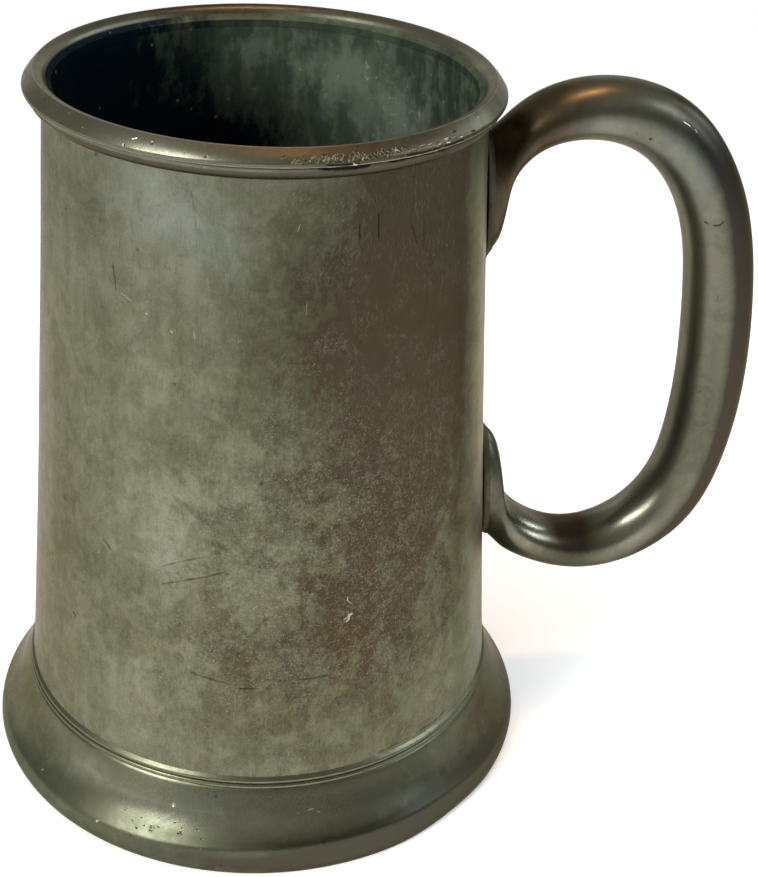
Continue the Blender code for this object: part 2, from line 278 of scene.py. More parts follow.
def lofted(name: str, rings: Sequence[Sequence[Vector]], crease: float = 50.0) -> Piece:
    """Extrude a ring of edges from section to section, and bridge the last section back to the first.

    Args:
        name: The new piece's name.
        rings: The sections, each a ring of as many points.
        crease: Corners sharper than this many degrees stay crisp.

    Returns:
        The lofted piece, a closed mesh.
    """
    piece = start_mesh(name, bpy.ops.mesh.primitive_circle_add, vertices=len(rings[0]), radius=0.01)
    mesh = bmesh.from_edit_mesh(piece.data)
    mesh.verts.ensure_lookup_table()
    for corner, point in zip(mesh.verts, rings[0]):
        corner.co = point
    slots = {corner.index: corner.index for corner in mesh.verts}
    first = set(slots)
    for ring in rings[1:]:
        bpy.ops.mesh.extrude_edges_move()
        mesh = bmesh.from_edit_mesh(piece.data)
        slots = place_ring(mesh, slots, ring)
    mesh.verts.ensure_lookup_table()
    for index in first:
        mesh.verts[index].select = True
    mesh.select_flush_mode()
    bmesh.update_edit_mesh(piece.data)
    bpy.ops.mesh.bridge_edge_loops()
    return close_mesh(piece, crease)


def dent(piece: Piece, at: Vector, push: Vector, reach: float) -> None:
    """Push the corner nearest to a point, and the metal within reach of it, by proportional editing.

    Args:
        piece: The piece, in object mode.
        at: The point whose nearest corner is pushed.
        push: How far and which way.
        reach: Radius of the metal that goes with it.
    """
    mesh = open_mesh(piece)
    min(mesh.verts, key=lambda corner: (corner.co - at).length_squared).select = True
    mesh.select_flush_mode()
    bmesh.update_edit_mesh(piece.data)
    bpy.ops.transform.translate(
        value=push, use_proportional_edit=True, proportional_edit_falloff="SMOOTH", proportional_size=reach
    )
    bpy.ops.object.mode_set(mode="OBJECT")


def unroll(piece: Piece, radius: float = 0.040) -> None:
    """Lay a turned piece out flat as a UV map in metres, round the mug and up it, with its seam behind.

    Args:
        piece: The piece, in object mode.
        radius: Radius that makes lengths of its angles.
    """
    mesh = piece.data
    places, _ = read_points(piece)
    corners = np.empty(len(mesh.loops), np.int32)
    counts = np.empty(len(mesh.polygons), np.int32)
    mesh.loops.foreach_get("vertex_index", corners)
    mesh.polygons.foreach_get("loop_total", counts)
    turn = np.arctan2(places[:, 1], places[:, 0] - LINE.axis) + math.pi / 2.0
    turn = ((turn + math.pi) % (2.0 * math.pi) - math.pi)[corners]
    face = np.repeat(np.arange(len(counts)), counts)
    least, most = np.full(len(counts), math.inf), np.full(len(counts), -math.inf)
    np.minimum.at(least, face, turn)
    np.maximum.at(most, face, turn)
    crosses = (most - least)[face] > math.pi
    turn[crosses & (turn < 0.0)] += 2.0 * math.pi
    spread = np.stack([turn * radius, places[corners, 2]], axis=1)
    mesh.uv_layers.new(name="unrolled").data.foreach_set("uv", spread.astype(np.float32).ravel())


def read_points(piece: Piece) -> tuple[np.ndarray, np.ndarray]:
    """Places and normals of a piece's corners, as two arrays of rows.

    Args:
        piece: The piece, in object mode.

    Returns:
        The places and the normals, a row for each corner.
    """
    mesh = piece.data
    places, normals = np.empty((2, len(mesh.vertices) * 3), np.float32)
    mesh.vertices.foreach_get("co", places)
    mesh.vertex_normals.foreach_get("vector", normals)
    return places.reshape(-1, 3).astype(float), normals.reshape(-1, 3).astype(float)


def write_places(piece: Piece, places: np.ndarray) -> None:
    """Put a piece's corners at new places."""
    piece.data.vertices.foreach_set("co", places.astype(np.float32).ravel())
    piece.data.update()


def keep(piece: Piece, name: str, values: np.ndarray) -> None:
    """Store a number for each corner, added to what the attribute holds already and kept from 0 to 1.

    Args:
        piece: The piece, in object mode.
        name: The attribute's name.
        values: A number for each corner.
    """
    mesh = piece.data
    stored = mesh.attributes.get(name) or mesh.attributes.new(name, "FLOAT", "POINT")
    before = np.zeros(len(mesh.vertices), np.float32)
    stored.data.foreach_get("value", before)
    stored.data.foreach_set("value", np.clip(before + values, 0.0, 1.0).astype(np.float32))


def around(places: np.ndarray) -> tuple[np.ndarray, np.ndarray]:
    """Each corner's degrees round the mug and millimetres above the table."""
    return np.degrees(np.arctan2(places[:, 1], places[:, 0] - LINE.axis)), places[:, 2] * PER_METRE


def inward(piece: Piece) -> np.ndarray:
    """Whether each corner faces the drum's axis."""
    places, normals = read_points(piece)
    return (normals[:, 0] * (places[:, 0] - LINE.axis) + normals[:, 1] * places[:, 1]) < 0.0


def smooth_step(values: np.ndarray, low: float, high: float) -> np.ndarray:
    """0 below low, 1 above high, and a smooth climb between."""
    share = np.clip((values - low) / (high - low), 0.0, 1.0)
    return share * share * (3.0 - 2.0 * share)


def bell(values: np.ndarray, middle: float, half: float) -> np.ndarray:
    """1 at a middle value, and a soft fall to both sides of it."""
    return np.exp(-(((values - middle) / half) ** 2))


def glow(places: np.ndarray, middle: Sequence[float], reach: Sequence[float]) -> np.ndarray:
    """1 at a point, and a soft fall all round it."""
    return np.exp(-(((places - middle) / reach) ** 2).sum(axis=1))


def wandering(places: np.ndarray, pitch: float) -> np.ndarray:
    """A soft noise at each corner, about -1 to 1, with so many waves to the metre."""
    return np.array([noise.fractal(Vector(spot) * pitch, 1.0, 2.0, 2) for spot in places])


def weather_edges(piece: Piece, crest: float = 500.0, hollow: float = 300.0) -> None:
    """Keep where a piece is rubbed bright, on its crests, and where dirt stays, in its hollows.

    Args:
        piece: The piece, in object mode.
        crest: Curvature, in 1/m, of a crest that is rubbed all over.
        hollow: Curvature of a hollow that is full of dirt.
    """
    places, normals = read_points(piece)
    edges = np.empty(len(piece.data.edges) * 2, np.int32)
    piece.data.edges.foreach_get("vertices", edges)
    first, second = edges.reshape(-1, 2).T
    step = places[second] - places[first]
    bend = ((normals[second] - normals[first]) * step).sum(axis=1) / np.maximum((step**2).sum(axis=1), 1e-12)
    total, weight = np.zeros((2, len(places)))
    for end in (first, second):
        np.add.at(total, end, bend)
        np.add.at(weight, end, 1.0)
    curvature = total / np.maximum(weight, 1.0)
    keep(piece, Tone.BRIGHT.value, smooth_step(curvature, 0.3 * crest, crest))
    keep(piece, Tone.DARK.value, smooth_step(-curvature, 0.25 * hollow, hollow))


@dataclass(frozen=True)
class Score:
    """A line scored in the metal, or a run of metal that stands proud of it.

    Attributes:
        path: Its points, as degrees round the mug and millimetres up its side or along its outline.
        width: Its full width.
        depth: How deep it is cut; a negative depth stands proud.
        tone: What it does to the metal.
        strength: How strongly it shows, from 0 to 1.
    """

    path: Sequence[Point]
    width: float
    depth: float
    tone: Tone
    strength: float

    def samples(self, place: Place, spacing: float = 0.0001) -> list[tuple[Vector, float]]:
        """Points close together along the score, each with its share of the full width there.

        Args:
            place: Gives the surface's point from a path's two numbers, the second one in metres.
            spacing: Greatest distance between two points.

        Returns:
            The points and shares.
        """
        corners = [place(degrees, height / PER_METRE) for degrees, height in self.path]
        lengths = [(after - before).length for before, after in zip(corners, corners[1:])]
        whole, gone, found = sum(lengths), 0.0, []
        for before, after, length in zip(corners, corners[1:], lengths):
            count = max(2, math.ceil(length / spacing))
            for step in range(count):
                share, point = (gone + length * step / count) / whole, before.lerp(after, step / count)
                taper = min(1.0, 0.25 + 5.0 * min(share, 1.0 - share))
                found.append((point, taper * (1.0 + 0.5 * noise.noise(point * 900.0))))
            gone += length
        return found


def scored(tone: Tone, *rows: Sequence[float]) -> list[Score]:
    """Scores of one tone, from rows of width and depth in millimetres, strength, and the path in pairs."""
    return [Score(tuple(zip(row[3::2], row[4::2])), row[0] / PER_METRE, row[1] / PER_METRE, tone, row[2])
            for row in rows]


def strewn(
    chance: random.Random,
    count: int,
    start: Callable[[], Point],
    sweep: tuple[Point, Point],
    width: float | Point,
    depth: float,
    tones: Sequence[Tone],
    strength: Point,
) -> list[Score]:
    """Short scores at random.

    Args:
        chance: Draws the numbers.
        count: How many.
        start: Draws where one begins, in degrees and millimetres.
        sweep: From where to where its end may lie beyond that, in degrees and in millimetres.
        width: Its width, or least and most.
        depth: Its depth.
        tones: What it may do to the metal.
        strength: Its least and most strength.

    Returns:
        The scores.
    """
    found = []
    for _ in range(count):
        degrees, height = start()
        end = (degrees + chance.uniform(*sweep[0]), height + chance.uniform(*sweep[1]))
        tone = chance.choice(tones) if len(tones) > 1 else tones[0]
        broad = chance.uniform(*width) if isinstance(width, tuple) else width
        found.append(Score(((degrees, height), end), broad, depth, tone, chance.uniform(*strength)))
    return found


def score_piece(piece: Piece, scores: Sequence[Score], place: Place) -> None:
    """Cut scores into a piece: divide the faces along them finely, and press the corners in.

    Args:
        piece: The piece, in object mode.
        scores: The marks.
        place: Gives the surface's point from a path's two numbers.
    """
    owners = [(score, *sample) for score in scores for sample in score.samples(place)]
    tree = KDTree(len(owners))
    for index, (_, point, _) in enumerate(owners):
        tree.insert(point, index)
    tree.balance()
    open_mesh(piece)
    bpy.ops.mesh.select_mode(type="FACE")
    for margin, cuts in SCORE_CUTS:
        bpy.ops.mesh.select_all(action="DESELECT")
        mesh = bmesh.from_edit_mesh(piece.data)
        for face in mesh.faces:
            _, index, distance = tree.find(face.calc_center_median())
            face.select = distance < owners[index][0].width / 2.0 + margin
        bmesh.update_edit_mesh(piece.data)
        bpy.ops.mesh.subdivide(number_cuts=cuts)
    bpy.ops.mesh.select_mode(type="VERT")
    bpy.ops.object.mode_set(mode="OBJECT")
    places, normals = read_points(piece)
    marks = {tone: np.zeros(len(places)) for tone in Tone}
    moves = np.zeros(len(places))
    for corner, spot in enumerate(places):
        _, index, distance = tree.find(spot)
        score, _, share = owners[index]
        across = distance / (score.width / 2.0 * share)
        if across < SCORE_REACH:
            lip = 0.25 * math.exp(-((across - 1.5) ** 2) * 6.0)
            moves[corner] = score.depth * share * (lip - math.exp(-across * across))
            marks[score.tone][corner] = score.strength * math.exp(-((across * 0.9) ** 2))
    write_places(piece, places + normals * moves[:, None])
    for tone, values in marks.items():
        keep(piece, tone.value, values)


@dataclass(frozen=True)
class Patch:
    """A soft-edged patch of patina, or of painted shade, light or reflection.

    Attributes:
        degrees: Its middle, round the mug.
        height: Its middle, in millimetres above the table.
        across: Half its width, in degrees.
        tall: Half its height, in millimetres.
        shade: How much darker it is; negative is lighter.
        cool: How much bluer; negative is browner.
    """

    degrees: float
    height: float
    across: float
    tall: float
    shade: float
    cool: float = 0.0

    def spread(self, degrees: np.ndarray, height: np.ndarray) -> np.ndarray:
        """Its strength, from 0 to 1, at each corner."""
        turn = (degrees - self.degrees + 180.0) % 360.0 - 180.0
        return np.exp(-((turn / self.across) ** 2) - ((height - self.height) / self.tall) ** 2)


def lay_patches(piece: Piece, rows: Sequence[Sequence[float]], where: np.ndarray) -> None:
    """Keep patches of patina or of painted shade and light, given by rows of a Patch's numbers, on the
    corners where they may lie.

    Args:
        piece: The piece, in object mode.
        rows: The patches, each a row of a Patch's numbers.
        where: Whether each corner may take them.
    """
    places, _ = read_points(piece)
    shade, cool = np.zeros((2, len(places)))
    for patch in (Patch(*row) for row in rows):
        spread = patch.spread(*around(places)) * where
        shade += patch.shade * spread
        cool += patch.cool * spread
    for name, values in (("shade", shade), ("lift", -shade), ("cool", cool), ("warm", -cool)):
        keep(piece, name, np.maximum(values, 0.0))


# Painted shade and light inside the cup, as rows of a Patch's numbers: dark to the left, at the back and deep
# down, lighter high on the right.
CUP_PAINTED_SHADE_AND_LIGHT = (
    (158, 118, 44, 60, 0.55), (140, 118, 24, 30, 0.25), (112, 106, 14, 8, 0.40), (92, 101, 16, 8, 0.60),
    (95, 40, 200, 52, 0.50), (62, 120, 10, 4.5, -0.30), (45, 112, 18, 8, -0.30), (88, 122, 14, 6, -0.10),
    (108, 119, 14, 8, 0.18),
)


@dataclass(frozen=True)
class Wire:
    """The value on a node's output, which can be reckoned with like a number."""

    shader: "Shader"
    socket: bpy.types.NodeSocket

    def __add__(self, other: "Value") -> "Wire":
        """The sum."""
        return self.shader.math("ADD", self, other)

    def __sub__(self, other: "Value") -> "Wire":
        """The difference."""
        return self.shader.math("SUBTRACT", self, other)

    def __mul__(self, other: "Value") -> "Wire":
        """The product."""
        return self.shader.math("MULTIPLY", self, other)

    def most(self, other: "Value") -> "Wire":
        """The greater of the two."""
        return self.shader.math("MAXIMUM", self, other)

    def held(self) -> "Wire":
        """The same, kept from 0 to 1 by the node that made it."""
        self.socket.node.use_clamp = True
        return self

    def fade(self, low: float, high: float, start: float = 0.0, end: float = 1.0) -> "Wire":
        """A smooth climb from start to end as the value goes from low to high."""
        feeds = dict(enumerate((self, low, high, start, end)))
        return self.shader.add("MapRange", feeds, interpolation_type="SMOOTHSTEP")


Value = float | Sequence[float] | Wire


class Shader:
    """Builds the nodes of one material or world."""

    def __init__(self, owner: bpy.types.Material | bpy.types.World) -> None:
        """Start on its nodes, around its Principled shader if it has one.

        Args:
            owner: The material or world.
        """
        self.owner = owner
        owner.use_nodes = True
        self.tree = owner.node_tree
        self.surface = self.tree.nodes.get("Principled BSDF")

    def feed(self, socket: bpy.types.NodeSocket, value: Value) -> None:
        """Link a socket, or set it where the value is a plain number or colour.

        Args:
            socket: The input.
            value: What goes into it.
        """
        if isinstance(value, Wire):
            self.tree.links.new(value.socket, socket)
        else:
            socket.default_value = (*value, 1.0) if socket.type == "RGBA" else value

    def finish(self, **feeds: Value) -> None:
        """Feed the Principled shader's inputs, by their names with a line for each space."""
        for name, value in feeds.items():
            self.feed(self.surface.inputs[name.replace("_", " ")], value)

    def show(self, closure: Wire) -> None:
        """Send a closure to the material's output in place of the Principled shader's.

        Args:
            closure: What shades the surface.
        """
        self.tree.nodes.remove(self.surface)
        output = next(node for node in self.tree.nodes if node.type == "OUTPUT_MATERIAL")
        self.feed(output.inputs["Surface"], closure)

    def add(self, kind: str, feeds: dict[int | str, Value], out: int | str = 0, **settings: object) -> Wire:
        """Add a node.

        Args:
            kind: Its type, without ShaderNode.
            feeds: What goes into its inputs, by number or name.
            out: Which of its outputs is wanted.
            **settings: Its properties.

        Returns:
            The wanted output.
        """
        made = self.tree.nodes.new(f"ShaderNode{kind}")
        for name, value in settings.items():
            setattr(made, name, value)
        for key, value in feeds.items():
            self.feed(made.inputs[key], value)
        return Wire(self, made.outputs[out])

    def math(self, operation: str, first: Value, second: Value = 0.0) -> Wire:
        """One step of arithmetic."""
        return self.add("Math", {0: first, 1: second}, operation=operation)

    def blend(self, factor: Value, first: Value, second: Value, how: str = "MIX") -> Wire:
        """Two colours mixed."""
        return self.add("Mix", {0: factor, 6: first, 7: second}, 2, data_type="RGBA", blend_type=how)

    def ramp(self, value: Wire, stops: Sequence[tuple[float, Colour]]) -> Wire:
        """Colours along a value from 0 to 1.

        Args:
            value: The value.
            stops: Places along it, each with its colour.

        Returns:
            The colour.
        """
        made = self.add("ValToRGB", {0: value})
        band = made.socket.node.color_ramp
        while len(band.elements) < len(stops):
            band.elements.new(0.5)
        for element, (position, colour) in zip(band.elements, stops):
            element.position, element.color = position, (*colour, 1.0)
        return made

    @property
    def place(self) -> Wire:
        """The piece's own coordinates."""
        return self.add("TexCoord", {}, "Object")

    def stretched(self, *scale: float) -> Wire:
        """The piece's own coordinates, scaled along each axis."""
        return self.add("Mapping", {"Vector": self.place, "Scale": scale})

    def cloud(
        self, size: float, detail: float, rough: float, warp: float = 0.0, place: Wire | None = None
    ) -> Wire:
        """Noise from 0 to 1, with features of a size in millimetres."""
        feeds = {"Scale": PER_METRE / size, "Detail": detail, "Roughness": rough, "Distortion": warp}
        return self.add("TexNoise", {"Vector": place or self.place, **feeds})

    def lines(self, degrees: float, long: float, thin: float, least: float) -> Wire:
        """Fine lines at an angle on the unrolled surface.

        Args:
            degrees: Their angle from the horizontal.
            long: Their rough length, in millimetres.
            thin: Their rough width, in millimetres.
            least: Noise level that a line starts at: the higher, the fewer.

        Returns:
            1 on the lines and 0 between them.
        """
        feeds = {
            "Vector": self.add("TexCoord", {}, "UV"),
            "Rotation": (0.0, 0.0, math.radians(degrees)),
            "Scale": (long / PER_METRE, thin / PER_METRE, 1.0),
        }
        place = self.add("Mapping", feeds, vector_type="TEXTURE")
        grain = self.add("TexNoise", {"Vector": place, "Scale": 1.0, "Detail": 1.0}, noise_dimensions="2D")
        return grain.fade(least, least + 0.05)

    def pinholes(self, pitch: float, share: float) -> Wire:
        """Small round pits, so many millimetres apart, in a share of the places.

        Args:
            pitch: Their rough distance, in millimetres.
            share: Share of the places that have one.

        Returns:
            1 in the pits and 0 between them.
        """
        feeds = {"Vector": self.place, "Scale": PER_METRE / pitch}
        chosen = self.add("SeparateColor", {0: self.add("TexVoronoi", feeds, "Color")})
        hole = self.add("TexVoronoi", feeds, "Distance").fade(0.05, 0.20, 1.0, 0.0)
        return hole * self.math("LESS_THAN", chosen, share)

    def stored(self, name: str) -> Wire:
        """A number that the mesh holds at each corner."""
        return self.add("Attribute", {}, "Fac", attribute_name=name)

    def relief(self, *layers: tuple[Wire, float]) -> Wire:
        """Fine reliefs over one another, each a height from 0 to 1 and its full depth in metres.

        Args:
            *layers: The heights and depths, lowest layer first.

        Returns:
            The normal that they give.
        """
        normal = None
        for height, depth in layers:
            feeds = {"Strength": 1.0, "Distance": depth, "Height": height}
            normal = self.add("Bump", {**feeds, "Normal": normal} if normal else feeds)
        return normal

    def shown(self) -> Wire:
        """1 for the rays that show a background: the camera's, and those in metal and glass."""
        names = (f"Is {kind} Ray" for kind in ("Camera", "Glossy", "Transmission"))
        camera, glossy, through = (self.add("LightPath", {}, name) for name in names)
        return ((camera + glossy).held() + through).held()


@dataclass(frozen=True)
class PewterFinish:
    """Worn pewter: burnished metal under a cloudy patina, rubbed bright on its crests.

    Attributes:
        name: The material's name.
        light: Colour of the burnished metal.
        middle: Colour under a thin patina.
        dark: Colour under the thickest patina.
        shade: Where the piece stands between light (0) and dark (1).
        cloudiness: How much the patina varies.
        rough: Roughness of the burnished metal.
        dull: Roughness under the patina.
        pits: How strongly the pitted patches show.
        relief: How deep the fine relief is, where 1 is the drum's.
        scratched: Whether it has fine scratches, which need the unrolled UV map.
    """

    name: str
    light: Colour = (0.290, 0.302, 0.248)
    middle: Colour = (0.161, 0.168, 0.116)
    dark: Colour = (0.062, 0.052, 0.034)
    shade: float = 0.45
    cloudiness: float = 0.80
    rough: float = 0.34
    dull: float = 0.46
    pits: float = 1.0
    relief: float = 1.0
    scratched: bool = False

    def patina(self, sh: Shader, mottle: Wire, grain: Wire) -> Wire:
        """How thick the patina is, from 0 to 1, with the painted shade and light that the pieces store:
        clouds, worn islands with an edge, streaks and grain.

        Args:
            sh: The material's nodes.
            mottle: Clouds of a middling size.
            grain: The finest clouds.

        Returns:
            The thickness.
        """
        pitting = sh.stored("pitting")
        # The stored shade and lift carry patina and also painted shade, reflection and highlights.
        shade = sh.stored("shade") + self.shade
        blots = (sh.cloud(1.7, 5.0, 0.62, 0.5) - 0.5) * (pitting * 0.8 + 0.13)
        islands = sh.cloud(7.5, 9.0, 0.68, 0.3).fade(0.44, 0.56, 0.5, -0.5) * (pitting * 0.26 + 0.06)
        shade = shade + blots * self.cloudiness + islands * self.cloudiness
        streaks = sh.cloud(2.6, 4.0, 0.6, place=sh.stretched(1.0, 1.0, 0.11))
        wide = sh.cloud(15.0, 3.0, 0.55, 0.3, sh.stretched(1.0, 1.0, 0.22))
        for pattern, share in ((wide, 0.20), (mottle.fade(0.44, 0.56), 0.12), (streaks, 0.34), (grain, 0.30)):
            shade = shade + (pattern - 0.5) * (share * self.cloudiness)
        return (shade - sh.stored("lift")).held()

    def tinted(self, sh: Shader, colour: Wire) -> Wire:
        """The colour, drifting between a bluer and a browner cast.

        Args:
            sh: The material's nodes.
            colour: The colour before.

        Returns:
            The colour after.
        """
        drift = (sh.cloud(8.0, 5.0, 0.6, 0.7) - 0.5) * 1.8
        # The stored cool and warm carry patina tints and also painted cool and warm reflections.
        cool = sh.stored("cool") - sh.stored("warm") + drift
        colour = sh.blend(cool.fade(0.0, 1.0), colour, (0.47, 0.52, 0.58), "SOFT_LIGHT")
        return sh.blend(cool.fade(-1.0, 0.0, 1.0, 0.0), colour, (0.58, 0.47, 0.38), "SOFT_LIGHT")

    def marks(self, sh: Shader, mottle: Wire, speck: Wire) -> tuple[Wire, Wire]:
        """Where the metal shows through bright, and where it is pitted or scratched dark.

        Args:
            sh: The material's nodes.
            mottle: Clouds of a middling size.
            speck: Fine specks.

        Returns:
            The two shares, from 0 to 1.
        """
        zone = (sh.stored("pitting") + (mottle - 0.5) * 2.2).fade(0.25, 0.80) * self.pits
        vein = sh.math("ABSOLUTE", sh.cloud(1.0, 4.0, 0.72) - 0.5).fade(0.0, 0.035, 1.0, 0.0)
        vein = vein * sh.cloud(2.2, 4.0, 0.65).fade(0.46, 0.58)
        bright = speck.fade(0.55, 0.68).most(vein) * zone
        pit = (speck.fade(0.32, 0.44, 1.0, 0.0) * zone * 0.5).most(sh.pinholes(2.6, 0.10))
        if self.scratched:
            clumps = sh.cloud(9.0, 3.0, 0.6).fade(0.40, 0.62)
            shine = sh.lines(-34.0, 4.0, 0.13, 0.70).most(sh.lines(64.0, 5.0, 0.13, 0.71))
            bright = bright.most(shine.most(sh.lines(12.0, 5.0, 0.12, 0.71)) * clumps)
            pit = pit.most(sh.lines(88.0, 5.0, 0.15, 0.68).most(sh.lines(4.0, 5.0, 0.14, 0.72)) * 0.6)
        return bright, pit

    def make(self) -> bpy.types.Material:
        """Build the material.

        Returns:
            The material.
        """
        sh = Shader(bpy.data.materials.new(self.name))
        mottle, grain = sh.cloud(5.5, 7.0, 0.62, 0.9), sh.cloud(0.42, 3.0, 0.62)
        speck = sh.cloud(0.36, 2.5, 0.7, 0.3)
        patina = self.patina(sh, mottle, grain)
        green = zip(self.middle, self.dark, (0.97, 1.03, 0.97))
        deep = tuple((0.45 * near + 0.55 * far) * cast for near, far, cast in green)
        colour = sh.ramp(patina, [(0.0, self.light), (0.5, self.middle), (0.76, deep), (1.0, self.dark)])
        bright, pit = self.marks(sh, mottle, speck)
        rubbed = (sh.stored(Tone.BRIGHT.value) + mottle * 0.35).fade(0.45, 1.05)
        dirt = (sh.stored(Tone.DARK.value) + speck * 0.45).fade(0.40, 1.15)
        colour = sh.blend(bright * 0.42, self.tinted(sh, colour), (0.38, 0.37, 0.30))
        colour = sh.blend(pit * 0.60, colour, (0.040, 0.036, 0.024))
        colour = sh.blend(rubbed, colour, (0.46, 0.45, 0.38))
        colour = sh.blend(dirt, colour, (0.022, 0.020, 0.014))
        dull = patina.fade(0.15, 0.85, self.rough, self.dull) + (grain - 0.5) * 0.16 - rubbed * 0.06
        lathe = sh.cloud(0.35, 3.0, 0.7, place=sh.stretched(0.01, 0.01, 1.0))
        layers = ((lathe, 0.000003), (grain, 0.000008), (mottle, 0.000050), (bright - pit, 0.000020))
        sh.finish(
            Base_Color=colour,
            Roughness=(dull + dirt * 0.2).held(),
            Metallic=1.0,
            Specular_Tint=(0.55, 0.53, 0.48),
            Normal=sh.relief(*((height, depth * self.relief) for height, depth in layers)),
        )
        return sh.owner


@dataclass(frozen=True)
class TarnishFinish:
    """The dark, mottled tarnish inside the cup, with grey-green blooms.

    Attributes:
        name: The material's name.
        black: Colour of the thickest tarnish.
        ground: Colour of the usual tarnish.
        bloom: Colour of the grey-green blooms.
        fleck: Colour of the paler flecks in them.
    """

    name: str
    black: Colour = (0.006, 0.014, 0.022)
    ground: Colour = (0.076, 0.106, 0.076)
    bloom: Colour = (0.148, 0.188, 0.142)
    fleck: Colour = (0.290, 0.330, 0.270)

    def make(self) -> bpy.types.Material:
        """Build the material.

        Returns:
            The material.
        """
        sh = Shader(bpy.data.materials.new(self.name))
        mottle = sh.cloud(4.5, 8.0, 0.70, 0.15, sh.stretched(1.0, 1.0, 0.6))
        streaks = sh.cloud(2.2, 5.0, 0.64, place=sh.stretched(1.0, 1.0, 0.15))
        amount = sh.cloud(17.0, 4.0, 0.6, 0.6) * 0.30 + mottle.fade(0.40, 0.62, 0.12, 0.34)
        amount = amount + sh.cloud(1.3, 5.0, 0.7, 0.2) * 0.20 + streaks * 0.34
        # The stored lift and shade are the cup's painted light and shade.
        amount = amount + (sh.stored("lift") - sh.stored("shade"))
        thick, bloom = amount.fade(0.02, 0.42, 1.0, 0.0), amount.fade(0.50, 0.95)
        fleck = sh.cloud(1.5, 5.0, 0.7, 0.3).fade(0.58, 0.70) * bloom
        scale = sh.cloud(0.9, 4.0, 0.7, 1.0).fade(0.66, 0.74) * thick
        colour = sh.blend(bloom, self.ground, self.bloom)
        for factor, over in (
            (streaks.fade(0.48, 0.70, 0.0, 0.5), (0.15, 0.16, 0.09)),
            (fleck, self.fleck),
            (thick, self.black),
            (sh.pinholes(2.4, 0.22) * 0.8, self.fleck),
            (scale * 0.5, (0.10, 0.13, 0.16)),
            (sh.stored(Tone.DARK.value).fade(0.2, 0.9), (0.012, 0.013, 0.010)),
            (sh.stored(Tone.BRIGHT.value).fade(0.2, 0.9), (0.30, 0.33, 0.29)),
        ):
            colour = sh.blend(factor, colour, over)
        sh.finish(
            Base_Color=colour,
            Roughness=amount.fade(0.10, 0.95, 0.50, 0.64),
            Metallic=amount.fade(0.30, 0.95, 0.90, 0.45),
            Specular_Tint=(0.30, 0.32, 0.32),
            Normal=sh.relief((sh.cloud(0.6, 4.0, 0.65), 0.000012), (mottle, 0.000080)),
        )
        return sh.owner


def finish_piece(piece: Piece, slot: Slot, node: str, material: bpy.types.Material) -> None:
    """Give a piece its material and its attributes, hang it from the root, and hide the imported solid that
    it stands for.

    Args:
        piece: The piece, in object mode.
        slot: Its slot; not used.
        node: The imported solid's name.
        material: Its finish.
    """
    piece.data.materials.clear()
    piece.data.materials.append(material)
    for name in ("shade", "lift", "cool", "warm", "pitting", "wear", "grime"):
        keep(piece, name, np.zeros(len(piece.data.vertices)))
    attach(piece, "root")
    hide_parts(node)
    triangles = sum(len(face.vertices) - 2 for face in piece.data.polygons)
    LOG.info("%s: %d triangles, stands for %s", piece.name, triangles, node)


